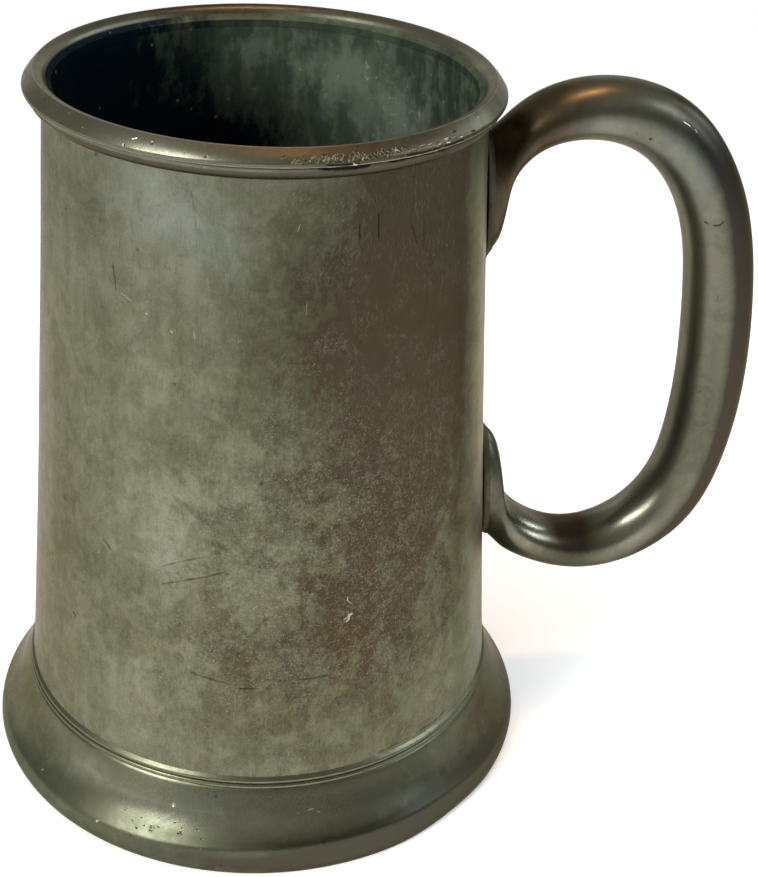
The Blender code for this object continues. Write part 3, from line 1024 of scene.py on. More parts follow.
@dataclass
class Drum:
    """The cup's tapered wall, with the scores and patina that it has gathered, and painted shade and
    reflections in its patches.
    """

    outside_rows: int = 104
    inside_rows: int = 34
    facets: int = 448
    unevenness: float = 0.00010
    waves: float = 42.0
    # Patina with painted shade and reflection, as rows of a Patch's numbers: darker and browner to the right
    # and the middle, where the metal would mirror a dark table, lighter and browner along the right edge, and
    # lighter, bluer spots high on the left.
    patches: tuple[tuple[float, ...], ...] = (
        (-52, 96, 22, 36, 0.42, -0.22), (-50, 122, 30, 8, 0.30, 0.35), (-84, 102, 24, 26, 0.26, 0.06),
        (-68, 58, 20, 24, 0.34, -0.16), (-92, 36, 18, 17, 0.24, -0.20), (-66, 26, 20, 8, 0.10, -0.10),
        (-119, 118, 12, 7, -0.26, 0.50), (-106, 113, 8, 8, -0.12, 0.45), (-143, 115, 5, 5.5, 0.16, 0.35),
        (-121, 66, 6, 10, -0.22, -0.05), (-103, 57, 8, 8, -0.14, 0.05), (-38, 26, 16, 12, -0.06, 0.40),
        (-149, 56, 11, 20, 0.17), (-103, 42, 6, 16, 0.12), (-103, 104, 6, 6, 0.10), (-126, 50, 10, 9, 0.08),
        (-139, 88, 6, 8, 0.10), (-24, 60, 8, 70, -0.36, -0.55), (-68, 74, 38, 70, 0.19, -0.08),
        (-82, 97, 15, 14, 0.12, -0.05), (-60, 110, 14, 12, 0.16, -0.10), (-92, 44, 12, 8, 0.12, -0.05),
        (-40, 74, 5, 50, 0.22), (-105, 60, 7, 7, 0.22), (-50, 42, 12, 10, 0.14, 0.10),
        (-120, 76, 12, 8, 0.14, 0.05), (-125, 45, 11, 9, 0.16, -0.05), (-138, 60, 7, 60, 0.10, 0.10),
        (-172, 70, 12, 70, -0.10, -0.10), (-74, 44, 9, 7, 0.12, -0.25),
    )

    def profile(self) -> list[Point]:
        """The wall's outline: up the outside, over the hidden upper edge and down the inside.

        Returns:
            The outline's (radius, height) points.
        """
        low, high, shoulder = LINE.base, LINE.brim, LINE.collar_top + 0.00005
        count, back = self.outside_rows, self.inside_rows
        points = [(LINE.radius(height) - LINE.rebate, height) for height in (low, shoulder)]
        rows = [shoulder + (high - shoulder) * row / count for row in range(count + 1)]
        points += [(LINE.radius(height), height) for height in rows]
        rows = [high + (low - high) * row / back for row in range(back + 1)]
        return points + [(LINE.radius(height) - LINE.wall, height) for height in rows]

    def scores(self) -> list[Score]:
        """The scores that stand out, then the many short, faint ones of daily use, all round the mug.

        Returns:
            The scores.
        """
        found = scored(
            Tone.DARK,
            (0.30, 0.08, 0.75, -122.2, 52.9, -115.9, 54.8, -110.0, 56.4, -104.2, 58.1),
            (0.24, 0.06, 0.8, -121.8, 56.3, -116.0, 58.5, -111.2, 59.9, -108.2, 60.6),
            (0.32, 0.08, 0.75, -116.4, 40.7, -114.5, 39.5),
            (0.30, 0.08, 0.75, -114.4, 37.5, -110.8, 36.8, -106.8, 36.2, -102.2, 35.6),
            (0.26, 0.08, 0.8, -102.2, 35.0, -97.0, 35.1),
            (0.30, 0.08, 0.75, -95.9, 36.9, -85.5, 36.5, -79.5, 36.9),
            (0.26, 0.08, 0.8, -97.4, 47.5, -94.7, 49.9),
            (0.45, 0.08, 0.7, -137.7, 58.1, -134.8, 56.3),
            (0.45, 0.08, 0.7, -148.5, 39.3, -146.8, 38.7),
            (0.40, 0.08, 0.7, -135.4, 107.8, -134.6, 105.4, -134.1, 103.1),
            (0.45, 0.05, 0.45, -114.5, 122.7, -113.3, 119.0, -112.8, 115.2),
            (0.30, 0.08, 0.8, -74.8, 117.2, -74.7, 114.1),
            (0.32, 0.08, 0.9, -69.9, 118.3, -69.7, 113.6),
            (0.40, 0.08, 0.6, -60.3, 115.6, -58.2, 111.5),
            (0.40, 0.08, 0.5, -56.0, 115.6, -56.4, 110.0),
            (1.10, 0.10, 0.35, -118.2, 70.6, -113.7, 68.9, -108.9, 66.3),
            (0.35, 0.05, 0.6, -69.0, 17.1, -64.0, 17.4, -58.5, 17.3),
            (0.45, 0.06, 0.7, -57.0, 17.6, -51.0, 17.4, -45.0, 17.7),
            (0.30, 0.04, 0.5, -61.0, 18.4, -55.0, 18.6, -48.0, 18.5),
        )
        found += scored(
            Tone.BRIGHT,
            (0.26, 0.05, 0.75, -100.4, 50.0, -97.4, 51.8),
            (0.20, 0.04, 0.7, -89.8, 116.3, -89.0, 117.8),
            (0.22, 0.04, 0.8, -133.1, 103.3, -129.3, 102.3),
            (0.50, 0.06, 0.75, -125.6, 101.1, -125.1, 100.9),
            (0.45, 0.06, 0.75, -119.2, 99.0, -118.6, 98.8),
            (0.40, 0.06, 0.7, -113.4, 99.6, -113.0, 98.2),
            (0.18, 0.03, 0.5, -134.1, 107.3, -124.4, 108.8, -116.8, 109.9),
            (0.50, -0.08, 0.75, -77.6, 47.3, -76.6, 47.6, -75.4, 48.4),
            (0.45, -0.08, 0.75, -77.2, 46.7, -76.2, 47.2, -75.9, 48.3),
            (0.40, -0.06, 0.75, -76.6, 48.4, -75.9, 48.0, -75.1, 48.1),
            (0.28, -0.05, 0.75, -76.4, 51.9, -76.6, 51.0, -75.9, 50.4, -75.0, 50.1),
            (0.35, -0.04, 0.7, -91.9, 75.2, -91.2, 74.9),
        )
        chance = random.Random(11)
        for _ in range(44):
            degrees, height = chance.uniform(-180.0, 180.0), chance.uniform(24.0, 120.0)
            lean, long = chance.choice((0.1, 0.5, -0.6, 1.2, 1.5)), chance.uniform(1.2, 4.0)
            across, up = long * math.cos(lean) * 1.4, long * math.sin(lean)
            end = (degrees + across, height + up + chance.uniform(-0.3, 0.3))
            tone = chance.choice((Tone.DARK, Tone.DARK, Tone.BRIGHT))
            found.append(Score(((degrees, height), end), 0.00020, 0.00003, tone, chance.uniform(0.35, 0.60)))
        return found

    def build(self) -> Piece:
        """Turn the wall, let its surface wander a little as spun metal does, score it, and lay patina and
        painted shade, light and reflection on it.

        Returns:
            The wall.
        """
        piece = turned("drum_wall", self.profile(), self.facets)
        places, normals = read_points(piece)
        clear = 1.0 - smooth_step(places[:, 2], LINE.brim - 0.004, LINE.brim)
        clear *= smooth_step(places[:, 2], LINE.collar_top, LINE.collar_top + 0.006)
        push = -self.unevenness * (0.5 + 0.5 * wandering(places, self.waves)) * clear
        write_places(piece, places + normals * push[:, None])
        score_piece(piece, self.scores(), LINE.on_side)
        inside = inward(piece)
        # Outside: patina with painted shade and reflection, darker to the right; inside: painted shade and
        # light, dark to the left and deep down.
        lay_patches(piece, self.patches, ~inside)
        lay_patches(piece, CUP_PAINTED_SHADE_AND_LIGHT, inside)
        pitted = Patch(-80.0, 56.0, 46.0, 34.0, 0.0).spread(*around(read_points(piece)[0]))
        keep(piece, "pitting", (0.10 + 0.88 * pitted) * ~inside)
        unroll(piece)
        return piece

    def dress(self, piece: Piece) -> None:
        """Finish the outside in worn pewter and the inside in tarnish.

        Args:
            piece: The piece, in object mode.
        """
        finish_piece(piece, Slot.DRUM, "drum", PewterFinish("drum_patina", scratched=True).make())
        piece.data.materials.append(TarnishFinish("cup_tarnish").make())
        inside = inward(piece)
        for face in piece.data.polygons:
            face.material_index = int(inside[face.vertices[0]] and inside[face.vertices[2]])


@dataclass
class RimMoulding:
    """The rolled moulding round the mouth, with a worn patch at its front."""

    nose_out: float = 0.0029
    nose_drop: float = 0.0021
    crest_out: float = 0.0011
    mouth_drop: float = 0.0009
    mouth_splay: float = 0.0011
    groove_drop: float = 0.0030
    groove_depth: float = 0.0007
    roll_out: float = 0.0021
    roll_drop: float = 0.0040
    lip_wear: float = 0.00030
    depth: float = 0.0053
    facets: int = 448

    @property
    def mouth(self) -> float:
        """Radius within which the moulding has the cup's tarnish."""
        return LINE.radius(LINE.brim) - LINE.wall + 0.75 * self.mouth_splay

    def profile(self) -> list[Point]:
        """Up the mouth, over the crest and nose, and down past the groove and the roll to the hem.

        Returns:
            The outline's (radius, height) points.
        """
        side, top = LINE.radius(LINE.brim), LINE.height
        wall, hem, throat = side - LINE.wall, top - self.depth, LINE.brim + 0.00003
        mouth = (wall + self.mouth_splay, top - self.mouth_drop)
        halfway = (wall, (throat + mouth[1]) / 2.0)
        crest = (side + self.crest_out, top)
        nose = (side + self.nose_out, top - self.nose_drop)
        groove = (nose[0] - self.groove_depth, top - self.groove_drop)
        roll = (side + self.roll_out, top - self.roll_drop)
        hem_in = (LINE.radius(hem) + LINE.gap, hem)
        hem_out = (hem_in[0] + LINE.gap, hem)
        points = bowed((wall, throat), halfway, steps=3)
        for start, end, bow, steps in (
            (halfway, mouth, -0.00008, 6),
            (mouth, crest, 0.14 * (crest[0] - mouth[0]), 10),
            (crest, nose, 0.055 * (nose[0] - crest[0]), 14),
            (nose, groove, 0.00036, 10),
            (groove, roll, 0.00012, 6),
            (roll, hem_out, 0.00021, 8),
        ):
            points += bowed(start, end, bow, steps)
        return points + [hem_out, hem_in, (side + LINE.gap, throat)]

    def on_rim(self, degrees: float, along: float) -> Vector:
        """The point of the rim at an angle and a way down its outside from the crest.

        Args:
            degrees: Angle round the drum's axis.
            along: The way, in metres.

        Returns:
            The point.
        """
        points = self.profile()
        outline = points[max(range(len(points)), key=lambda index: points[index][1]) : -2]
        for before, after in zip(outline, outline[1:]):
            length = math.dist(before, after)
            if along <= length:
                break
            along -= length
        return LINE.spot(degrees, *Vector(before).lerp(Vector(after), min(1.0, along / length)))

    def scores(self) -> list[Score]:
        """The nicks: a hatched run at the front, bare spots and black cracks, and knocks all round.

        Returns:
            The scores.
        """
        chance = random.Random(5)
        draw, dark, bright = chance.uniform, (Tone.DARK,), (Tone.BRIGHT,)
        found = []
        for step in range(44):
            degrees = -91.0 + 0.56 * step + draw(-0.4, 0.4)
            lean = draw(0.9, 1.7) if step % 2 else -draw(0.6, 1.3)
            path = ((degrees, draw(1.1, 1.9)), (degrees + lean, draw(2.2, 3.0)))
            found.append(Score(path, draw(0.00020, 0.00036), 0.00009, Tone.BRIGHT, draw(0.35, 0.75)))
        found += strewn(
            chance, 14, lambda: (draw(-92.0, -68.0), draw(1.2, 2.9)), ((0.5, 1.6), (-0.2, 0.2)),
            (0.00025, 0.00045), 0.00009, dark, (0.5, 0.9),
        )
        found += strewn(
            chance, 22, lambda: (chance.gauss(-57.0, 3.4), chance.gauss(2.35, 0.24)),
            ((0.4, 2.0), (-0.15, 0.15)), (0.00022, 0.00042), 0.00004, bright, (0.35, 0.70),
        )
        found += scored(
            Tone.DARK,
            (0.60, 0.16, 1.0, -84.5, 3.15, -81.0, 3.30, -77.0, 3.20),
            (0.60, 0.16, 1.0, -86.0, 4.30, -79.0, 4.55, -74.0, 4.40),
            (0.60, 0.16, 1.0, -66.0, 3.05, -61.0, 3.25, -56.0, 3.10),
            (0.60, 0.16, 1.0, -55.0, 3.10, -51.5, 3.25, -48.0, 3.05),
            (0.60, 0.16, 1.0, -70.0, 4.40, -63.0, 4.20, -57.0, 4.40),
            (0.60, 0.16, 1.0, -56.0, 4.50, -50.0, 4.25, -45.0, 4.40),
        )
        return found + strewn(
            chance, 36, lambda: (draw(-180.0, 180.0), draw(0.2, 3.4)), ((-1.6, 1.6), (-0.5, 0.5)),
            (0.00020, 0.00038), 0.00005, dark + bright + bright, (0.5, 0.9),
        )

    def build(self) -> Piece:
        """Turn the moulding, nick and stain it, paint shade under it, at its back and right and inside its
        mouth, paint a warm reflection along its front edge, and wear its crest down at the front.

        Returns:
            The moulding.
        """
        piece = turned("rolled_rim", self.profile(), self.facets)
        weather_edges(piece, 1500.0, 3200.0)
        score_piece(piece, self.scores(), self.on_rim)
        places, normals = read_points(piece)
        (degrees, _), drop, facing = around(places), LINE.height - places[:, 2], inward(piece)
        inside = facing & (np.hypot(places[:, 0] - LINE.axis, places[:, 1]) < self.mouth)
        lay_patches(piece, CUP_PAINTED_SHADE_AND_LIGHT, inside)
        # Painted shade: darker under the nose, low on the moulding, at the back and the right, and inside the
        # mouth, with the back also painted cooler; worn marks the real worn patches.
        under = smooth_step(-normals[:, 2], -0.15, 0.45) * ~facing * (drop > self.nose_drop)
        worn = bell(degrees, -58.0, 16.0) + 0.8 * bell(degrees, -79.0, 11.0)
        right, back = bell(degrees, -42.0, 26.0), bell(degrees, 105.0, 50.0)
        # Painted warm reflection: a copper tint along the front of the mouth's edge.
        lip = bell(degrees, -92.0, 20.0) * (1.0 - smooth_step(drop, 0.0, 0.0009))
        shade = (0.36 * worn + 0.36 * right + 0.42 * back) * ~inside + 0.16 * inside
        keep(piece, "shade", shade + 0.58 * under + 0.40 * smooth_step(drop, 0.0035, 0.0048))
        keep(piece, "cool", 0.45 * back * ~inside)
        keep(piece, "warm", (0.45 * worn + 1.1 * lip) * ~inside)
        low = self.lip_wear * bell(degrees, -88.0, 36.0)
        places[:, 2] -= low * smooth_step(places[:, 2], LINE.height - self.nose_drop, LINE.height - 0.0002)
        places[:, 2] = np.minimum(places[:, 2], LINE.height)
        write_places(piece, places)
        return piece

    def dress(self, piece: Piece) -> None:
        """Finish it in the handled pewter of the lip, and its mouth in the cup's tarnish.

        Args:
            piece: The piece, in object mode.
        """
        finish = PewterFinish(
            "rim_patina", (0.300, 0.304, 0.250), (0.180, 0.180, 0.140), (0.070, 0.066, 0.050),
            shade=0.47, cloudiness=0.65, rough=0.25, dull=0.38, pits=0.5, relief=0.6,
        )
        finish_piece(piece, Slot.RIM, "rim_moulding", finish.make())
        piece.data.materials.append(TarnishFinish("mouth_tarnish").make())
        for face in piece.data.polygons:
            face.material_index = int(math.hypot(face.center.x - LINE.axis, face.center.y) < self.mouth)


@dataclass
class FootRing:
    """The spun, hollow foot: lower band, flare, belly and two fine reeds."""

    spread: float = 0.0066
    rest_spread: float = 0.0060
    bend_spread: float = 0.00575
    band_widest: float = 0.0019
    bend: float = 0.00415
    flare_bow: float = 0.00030
    belly_spread: float = 0.00218
    belly_height: float = 0.0100
    belly_bow: float = 0.00006
    bend_lift: float = 0.0019
    flare_proud: float = 0.00055
    flare_top: float = 0.0141
    reed_radius: float = 0.0006
    reed_height: float = 0.01475
    reed_pitch: float = 0.0010
    reeds_proud: tuple[float, float] = (0.00062, 0.00050)
    wall: float = 0.0022
    skirt_spread: float = 0.0004
    shelf_reach: float = 0.0040
    shelf_thickness: float = 0.0018
    dent_depth: float = 0.0004
    facets: int = 512
    # Patina with painted shade and light, as rows of a Patch's numbers: the lower band and the right darkened
    # where the metal mirrors the white floor and the lamps, a dark line painted at the bend, and the belly
    # lightened.
    patches: tuple[tuple[float, ...], ...] = (
        (-62, 7, 17, 7, 0.46, 0.40), (-85, 5, 14, 4, 0.14, -0.05), (-28, 12, 16, 8, 0.10, -0.40),
        (-90, 12.6, 60, 1.6, -0.14, -0.12), (-90, 9.2, 36, 2.2, -0.42, -0.05),
        (-84, 6.2, 44, 0.7, 0.24, 0.05), (-82, 2.6, 50, 2.6, 0.60), (-40, 11, 20, 5, 0.20, 0.15),
        (-24, 8, 24, 8, 0.16, -0.10), (-36, 3, 26, 2.6, 0.30),
        (-172, 8, 20, 7, 0.13), (-152, 8, 12, 6, 0.22, 0.05),
        (-166, 12, 16, 5, 0.10, -0.40), (-112, 10, 12, 3, -0.12, 0.10), (-35, 10, 12, 8, 0.14, 0.05),
    )

    def profile(self) -> list[Point]:
        """Up the outside from the table, over the reeds, and down the inside past the floor's shelf.

        Returns:
            The outline's (radius, height) points.
        """
        base, collar = LINE.radius(LINE.base), LINE.collar_top
        shelf = LINE.floor_underside - LINE.gap
        under = shelf - self.shelf_thickness
        rest, widest = (base + self.rest_spread, 0.0), (base + self.spread - HAIR, self.band_widest)
        bend, belly = (base + self.bend_spread, self.bend), (base + self.belly_spread, self.belly_height)
        flare_top = (LINE.radius(self.flare_top) + self.flare_proud, self.flare_top)
        foot_inside = (rest[0] - self.wall, 0.0)
        points = bowed(rest, widest, -0.20 * (widest[0] - rest[0]), 6)
        points += bowed(widest, bend, -0.23 * (widest[0] - bend[0]), 10)
        points += bowed(bend, belly, self.flare_bow, 26)
        points += bowed(belly, flare_top, -self.belly_bow, 16) + [flare_top]
        for number, proud in enumerate(self.reeds_proud):
            middle = self.reed_height + number * self.reed_pitch
            centre = (LINE.radius(middle) + proud - self.reed_radius, middle)
            points += arc(centre, self.reed_radius, -50.0, 50.0)
        points += [(LINE.radius(collar) - 0.00006, collar), (self.joint(collar), collar)]
        points += [(self.joint(shelf), shelf), (base - self.shelf_reach, shelf)]
        points += [(base - self.shelf_reach, under)]
        return points + bowed((base + self.skirt_spread, under), foot_inside, steps=4) + [foot_inside]

    def joint(self, height: float) -> float:
        """Radius of the foot's inside where it clears the turned-down edge of the drum."""
        return LINE.radius(height) - LINE.rebate + LINE.gap

    def build(self) -> Piece:
        """Turn the foot, flatten it a little where it was dropped, score and wear it, and lay patina and
        painted shade and light on it.

        Returns:
            The foot.
        """
        piece = turned("spun_foot", self.profile(), self.facets)
        away = LINE.spot(-52.0, 1.0, 0.0) - LINE.spot(0.0, 0.0, 0.0)
        at = LINE.spot(-52.0, LINE.foot_radius + self.spread, self.band_widest)
        dent(piece, at, away * -self.dent_depth, 0.014)
        weather_edges(piece, 6000.0, 20000.0)
        score_piece(piece, self.scores(), self.on_foot)
        self.lift_bend(piece)
        # Patina with painted shade and light.
        lay_patches(piece, self.patches, ~inward(piece))
        return piece

    def lift_bend(self, piece: Piece) -> None:
        """Raise the bend above the band at the front, where the foot is worn.

        Args:
            piece: The piece, in object mode.
        """
        places, _ = read_points(piece)
        outside = np.hypot(places[:, 0] - LINE.axis, places[:, 1]) > LINE.radius(LINE.base) + HAIR
        rise = smooth_step(places[:, 2], self.band_widest, self.bend)
        rise *= 1.0 - smooth_step(places[:, 2], self.bend + 0.0004, self.flare_top - 0.0012)
        places[:, 2] += self.bend_lift * rise * outside * bell(around(places)[0], -78.0, 40.0)
        write_places(piece, places)

    def on_foot(self, degrees: float, height: float) -> Vector:
        """The point of the foot's outside at an angle and a height.

        Args:
            degrees: Angle round the drum's axis.
            height: The height, in metres.

        Returns:
            The point.
        """
        least = LINE.radius(LINE.collar_top) - LINE.rebate / 2.0
        outside = [point for point in self.profile() if point[0] > least and point[1] >= self.band_widest]
        radii, heights = zip(*sorted(outside, key=lambda point: point[1]))
        return LINE.spot(degrees, float(np.interp(height, heights, radii)), height)

    def scores(self) -> list[Score]:
        """Small pits and scuffs, thickest at the front left.

        Returns:
            The scores.
        """
        chance = random.Random(3)
        found = scored(
            Tone.BRIGHT,
            (0.60, 0.06, 0.8, -131.9, 3.7, -131.2, 3.9),
            (0.40, 0.06, 0.75, -150.9, 4.9, -150.5, 5.2),
            (0.50, 0.06, 0.7, -116.0, 9.8, -115.6, 10.2),
        )
        found += scored(Tone.DARK, (0.45, 0.15, 0.75, -72.9, 14.9, -72.5, 15.1))
        found += strewn(
            chance, 26, lambda: (chance.gauss(-119.0, 5.0), chance.gauss(5.8, 1.1)),
            ((0.2, 0.6), (-0.3, 0.3)), 0.00022, 0.00005, (Tone.DARK,), (0.4, 0.9),
        )
        return found + strewn(
            chance, 60, lambda: (chance.uniform(-180.0, 180.0), chance.uniform(2.4, 10.8)),
            ((-1.5, 1.5), (-0.7, 0.7)), 0.00022, 0.00003, (Tone.DARK, Tone.BRIGHT), (0.3, 0.6),
        )

    def dress(self, piece: Piece) -> None:
        """Finish it in smooth grey-green pewter."""
        finish = PewterFinish(
            "foot_patina", (0.290, 0.300, 0.235), (0.150, 0.158, 0.112), (0.062, 0.060, 0.044),
            shade=0.50, cloudiness=0.65, rough=0.25, dull=0.37, pits=0.35, relief=0.5,
        )
        finish_piece(piece, Slot.FOOT, "foot_ring", finish.make())


@dataclass
class CupFloor:
    """The disc that closes the cup, with a turned line in its hollowed underside."""

    dish: float = 0.0006
    ring_radius: float = 0.0150
    ring_width: float = 0.0012
    ring_depth: float = 0.0003
    land: float = 0.0025
    slope: float = 0.0015
    facets: int = 256

    def build(self) -> Piece:
        """Turn the disc, from the middle of its underside out and back over its top.

        Returns:
            The disc.
        """
        top, under = LINE.floor_underside + LINE.floor_thickness, LINE.floor_underside
        edge, dished = LINE.radius(LINE.base) - LINE.rebate, under + self.dish
        land = LINE.radius(LINE.base) - FootRing.shelf_reach - self.land
        ring, ring_end, slope = self.ring_radius, self.ring_radius + self.ring_width, land - self.slope
        points = bowed((0.0, dished), (ring, dished), steps=6)
        points += bowed((ring, dished), (ring_end, dished), -self.ring_depth, 8)
        points += bowed((ring_end, dished), (slope, dished), steps=6)
        points += bowed((slope, dished), (land, under), steps=3) + [(land, under), (edge, under)]
        points += bowed((edge, top), (0.0, top), steps=18) + [(0.0, top)]
        piece = turned("cup_floor", points, self.facets)
        weather_edges(piece)
        return piece

    def dress(self, piece: Piece) -> None:
        """Finish it in the cup's own dark tarnish."""
        finish_piece(piece, Slot.FLOOR, "floor_disc", TarnishFinish("floor_tarnish").make())


@dataclass
class LoopHandle:
    """The hollow cast handle: oval sections lofted along two rails, wrapped to the drum at both seats.

    Attributes:
        crown_drop: Crown of the handle below the top of the rim.
        span: Crown to heel.
        reach: Drum's side to the outside of the grip.
        width: Across the grip.
        metal: Thickness of the metal.
        bore: Greatest width of the hollow, in the plane of the handle.
        root_stations: Stations at each end that hug the drum.
        sides: Facets around a section.
        pitch: Greatest distance between two sections.
        inner_pitch: The same in the hollow.
        unevenness: How far the cast skin wanders.
        stations: Outer rail (out, down), inner rail (out, down) and width, as shares of the sizes.
    """

    crown_drop: float = 0.0023
    span: float = 0.1000
    reach: float = 0.0523
    width: float = 0.0136
    metal: float = 0.0016
    bore: float = 0.0100
    root_stations: int = 3
    sides: int = 64
    pitch: float = 0.0010
    inner_pitch: float = 0.0030
    unevenness: float = 0.00006
    waves: float = 60.0
    stations: tuple[tuple[float, ...], ...] = (
        (0.000, 0.102, 0.000, 0.322, 0.92), (0.043, 0.084, 0.045, 0.292, 0.95),
        (0.100, 0.060, 0.062, 0.218, 0.96), (0.196, 0.027, 0.122, 0.151, 0.95),
        (0.423, 0.000, 0.301, 0.109, 0.93), (0.708, 0.047, 0.534, 0.137, 0.95),
        (0.903, 0.182, 0.687, 0.241, 0.97), (0.995, 0.414, 0.744, 0.431, 1.00),
        (0.963, 0.710, 0.721, 0.687, 1.00), (0.800, 0.909, 0.601, 0.842, 0.98),
        (0.515, 0.997, 0.352, 0.905, 0.96), (0.222, 0.986, 0.132, 0.853, 0.95),
        (0.095, 0.953, 0.080, 0.792, 0.96), (0.043, 0.926, 0.056, 0.698, 0.95),
        (0.000, 0.903, 0.000, 0.670, 0.92),
    )
    track: np.ndarray = field(init=False)
    slopes: np.ndarray = field(init=False)

    def __post_init__(self) -> None:
        """Measure the middle line and find the slopes of a smooth curve through the stations."""
        values = np.array(self.stations)
        middles = (values[:, 0:2] + values[:, 2:4]) / 2.0 * (self.reach, self.span)
        steps = np.linalg.norm(np.diff(middles, axis=0), axis=1)
        self.track = np.concatenate([[0.0], np.cumsum(steps)])
        rises = np.diff(values, axis=0) / steps[:, None]
        count = len(values)
        bend, pull = np.zeros((count, count)), np.zeros_like(values)
        for row in range(1, count - 1):
            before, after = 1.0 / steps[row - 1], 1.0 / steps[row]
            bend[row, row - 1 : row + 2] = before, 2.0 * (before + after), after
            pull[row] = 3.0 * (rises[row - 1] * before + rises[row] * after)
        bend[0, :2], bend[-1, -2:] = (2.0, 1.0), (1.0, 2.0)
        pull[0], pull[-1] = 3.0 * rises[0], 3.0 * rises[-1]
        self.slopes = np.linalg.solve(bend, pull)

    @property
    def last(self) -> int:
        """Number of the last station."""
        return len(self.stations) - 1

    def values(self, position: float) -> np.ndarray:
        """The five station values at a fractional station number.

        Args:
            position: The number.

        Returns:
            The values.
        """
        index = min(int(position), self.last - 1)
        share, step = position - index, self.track[index + 1] - self.track[index]
        rest, before, after = 1.0 - share, np.array(self.stations[index]), np.array(self.stations[index + 1])
        ends = before * (1.0 + 2.0 * share) * rest**2 + after * (3.0 - 2.0 * share) * share**2
        leave, arrive = self.slopes[index], self.slopes[index + 1]
        return ends + leave * step * share * rest**2 - arrive * step * share**2 * rest

    def rail(self, out: float, down: float) -> Vector:
        """A rail's point in the handle's plane, as (distance from the drum's axis, height)."""
        height = LINE.height - self.crown_drop - down * self.span
        return Vector((LINE.radius(height) + LINE.gap + out * self.reach, height))

    def ring(self, position: float, grow: float = 0.0, hollow: bool = False) -> list[Vector]:
        """One oval section.

        Args:
            position: Fractional station number.
            grow: How much wider it is on every side.
            hollow: Whether it is the hollow's section instead of the skin's.

        Returns:
            The section's points, in the row frame.
        """
        *rails, width = self.values(position)
        outer, inner = self.rail(*rails[:2]), self.rail(*rails[2:])
        middle, half = (outer + inner) / 2.0, (outer - inner) / 2.0
        depth, across = half.length, width * self.width / 2.0
        if hollow:
            depth, across = min(depth - self.metal, self.bore / 2.0), across - self.metal
        along, across = half.normalized() * (depth + grow), across + grow
        hug = max(0.0, 1.0 - min(position, self.last - position) / self.root_stations) ** 2
        points = []
        for side in range(self.sides):
            angle = 2.0 * math.pi * side / self.sides
            point, sideways = middle + along * math.cos(angle), across * math.sin(angle)
            drum = LINE.radius(point.y) + LINE.gap
            sink = (drum - math.sqrt(drum**2 - sideways**2)) * hug
            points.append(Vector((LINE.axis + point.x - sink, sideways, point.y)))
        return points

    def positions(self, pitch: float) -> list[float]:
        """Fractional station numbers of sections a pitch apart at most.

        Args:
            pitch: The greatest distance.

        Returns:
            The numbers, from the first station on.
        """
        counts = [max(2, math.ceil(length / pitch)) for length in np.diff(self.track)]
        steps = [index + step / count for index, count in enumerate(counts) for step in range(count)]
        return steps + [float(self.last)]

    def scores(self) -> list[Score]:
        """Marks on the grip's -Y side, by X and Z in millimetres.

        Returns:
            The scores.
        """
        return scored(
            Tone.DARK,
            (0.34, 0.08, 0.9, 58.0, 102.4, 59.3, 102.6, 60.1, 103.4),
            (0.30, 0.06, 0.7, 56.6, 102.9, 57.6, 102.5),
            (0.50, 0.10, 0.9, 44.2, 118.3, 44.5, 118.6),
            (0.26, 0.05, 0.7, 61.4, 88.8, 61.2, 87.1),
            (0.28, 0.06, 0.7, 61.35, 68.6, 60.8, 67.9),
        ) + scored(
            Tone.BRIGHT,
            (0.30, 0.05, 0.9, 50.0, 121.5, 51.5, 120.6),
            (0.24, 0.05, 0.8, 52.2, 120.2, 52.9, 119.4),
        )

    def build(self) -> Piece:
        """Loft the skin out along the stations and the hollow back to the start, then mark it.

        Returns:
            The handle.
        """
        rings = [self.ring(position) for position in self.positions(self.pitch)]
        rings += [self.ring(position, hollow=True) for position in reversed(self.positions(self.inner_pitch))]
        piece = lofted("loop_handle", rings)
        places, normals = read_points(piece)
        places[:, 0] = np.minimum(places[:, 0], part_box("handle")[1].x - HAIR)
        clear = smooth_step(places[:, 0], LINE.axis + 0.050, LINE.axis + 0.060)
        push = self.unevenness * (1.0 + wandering(places, self.waves)) * clear
        write_places(piece, places - normals * push[:, None])
        score_piece(piece, self.scores(), self.near_side(piece))
        self.patina_and_painted_light(piece)
        return piece

    def near_side(self, piece: Piece) -> Place:
        """A function that gives the grip's point on its -Y side, from X in millimetres and Z in metres.

        Args:
            piece: The piece, in object mode.

        Returns:
            The function.
        """
        places, normals = read_points(piece)
        skin = places[(normals[:, 1] < -0.2) & (places[:, 1] < 0.0)]

        def place(across: float, height: float) -> Vector:
            """The grip's point at an X and a Z, from its four nearest corners."""
            distance = ((skin[:, (0, 2)] - (across / PER_METRE, height)) ** 2).sum(axis=1)
            near = np.argsort(distance)[:4]
            weight = 1.0 / (distance[near] + 1e-9)
            return Vector((across / PER_METRE, float((skin[near, 1] * weight).sum() / weight.sum()), height))

        return place

    def patina_and_painted_light(self, piece: Piece) -> None:
        """Keep the patina and the painted shade, reflection and highlights: a darker, browner outside of the
        grip for a dark reflection, painted shade at the roots, a darker heel, a bluer shoulder, and painted
        highlights at the heel and the lower seat.

        Args:
            piece: The piece, in object mode.
        """
        places, normals = read_points(piece)
        out, up = places[:, 0], places[:, 2]
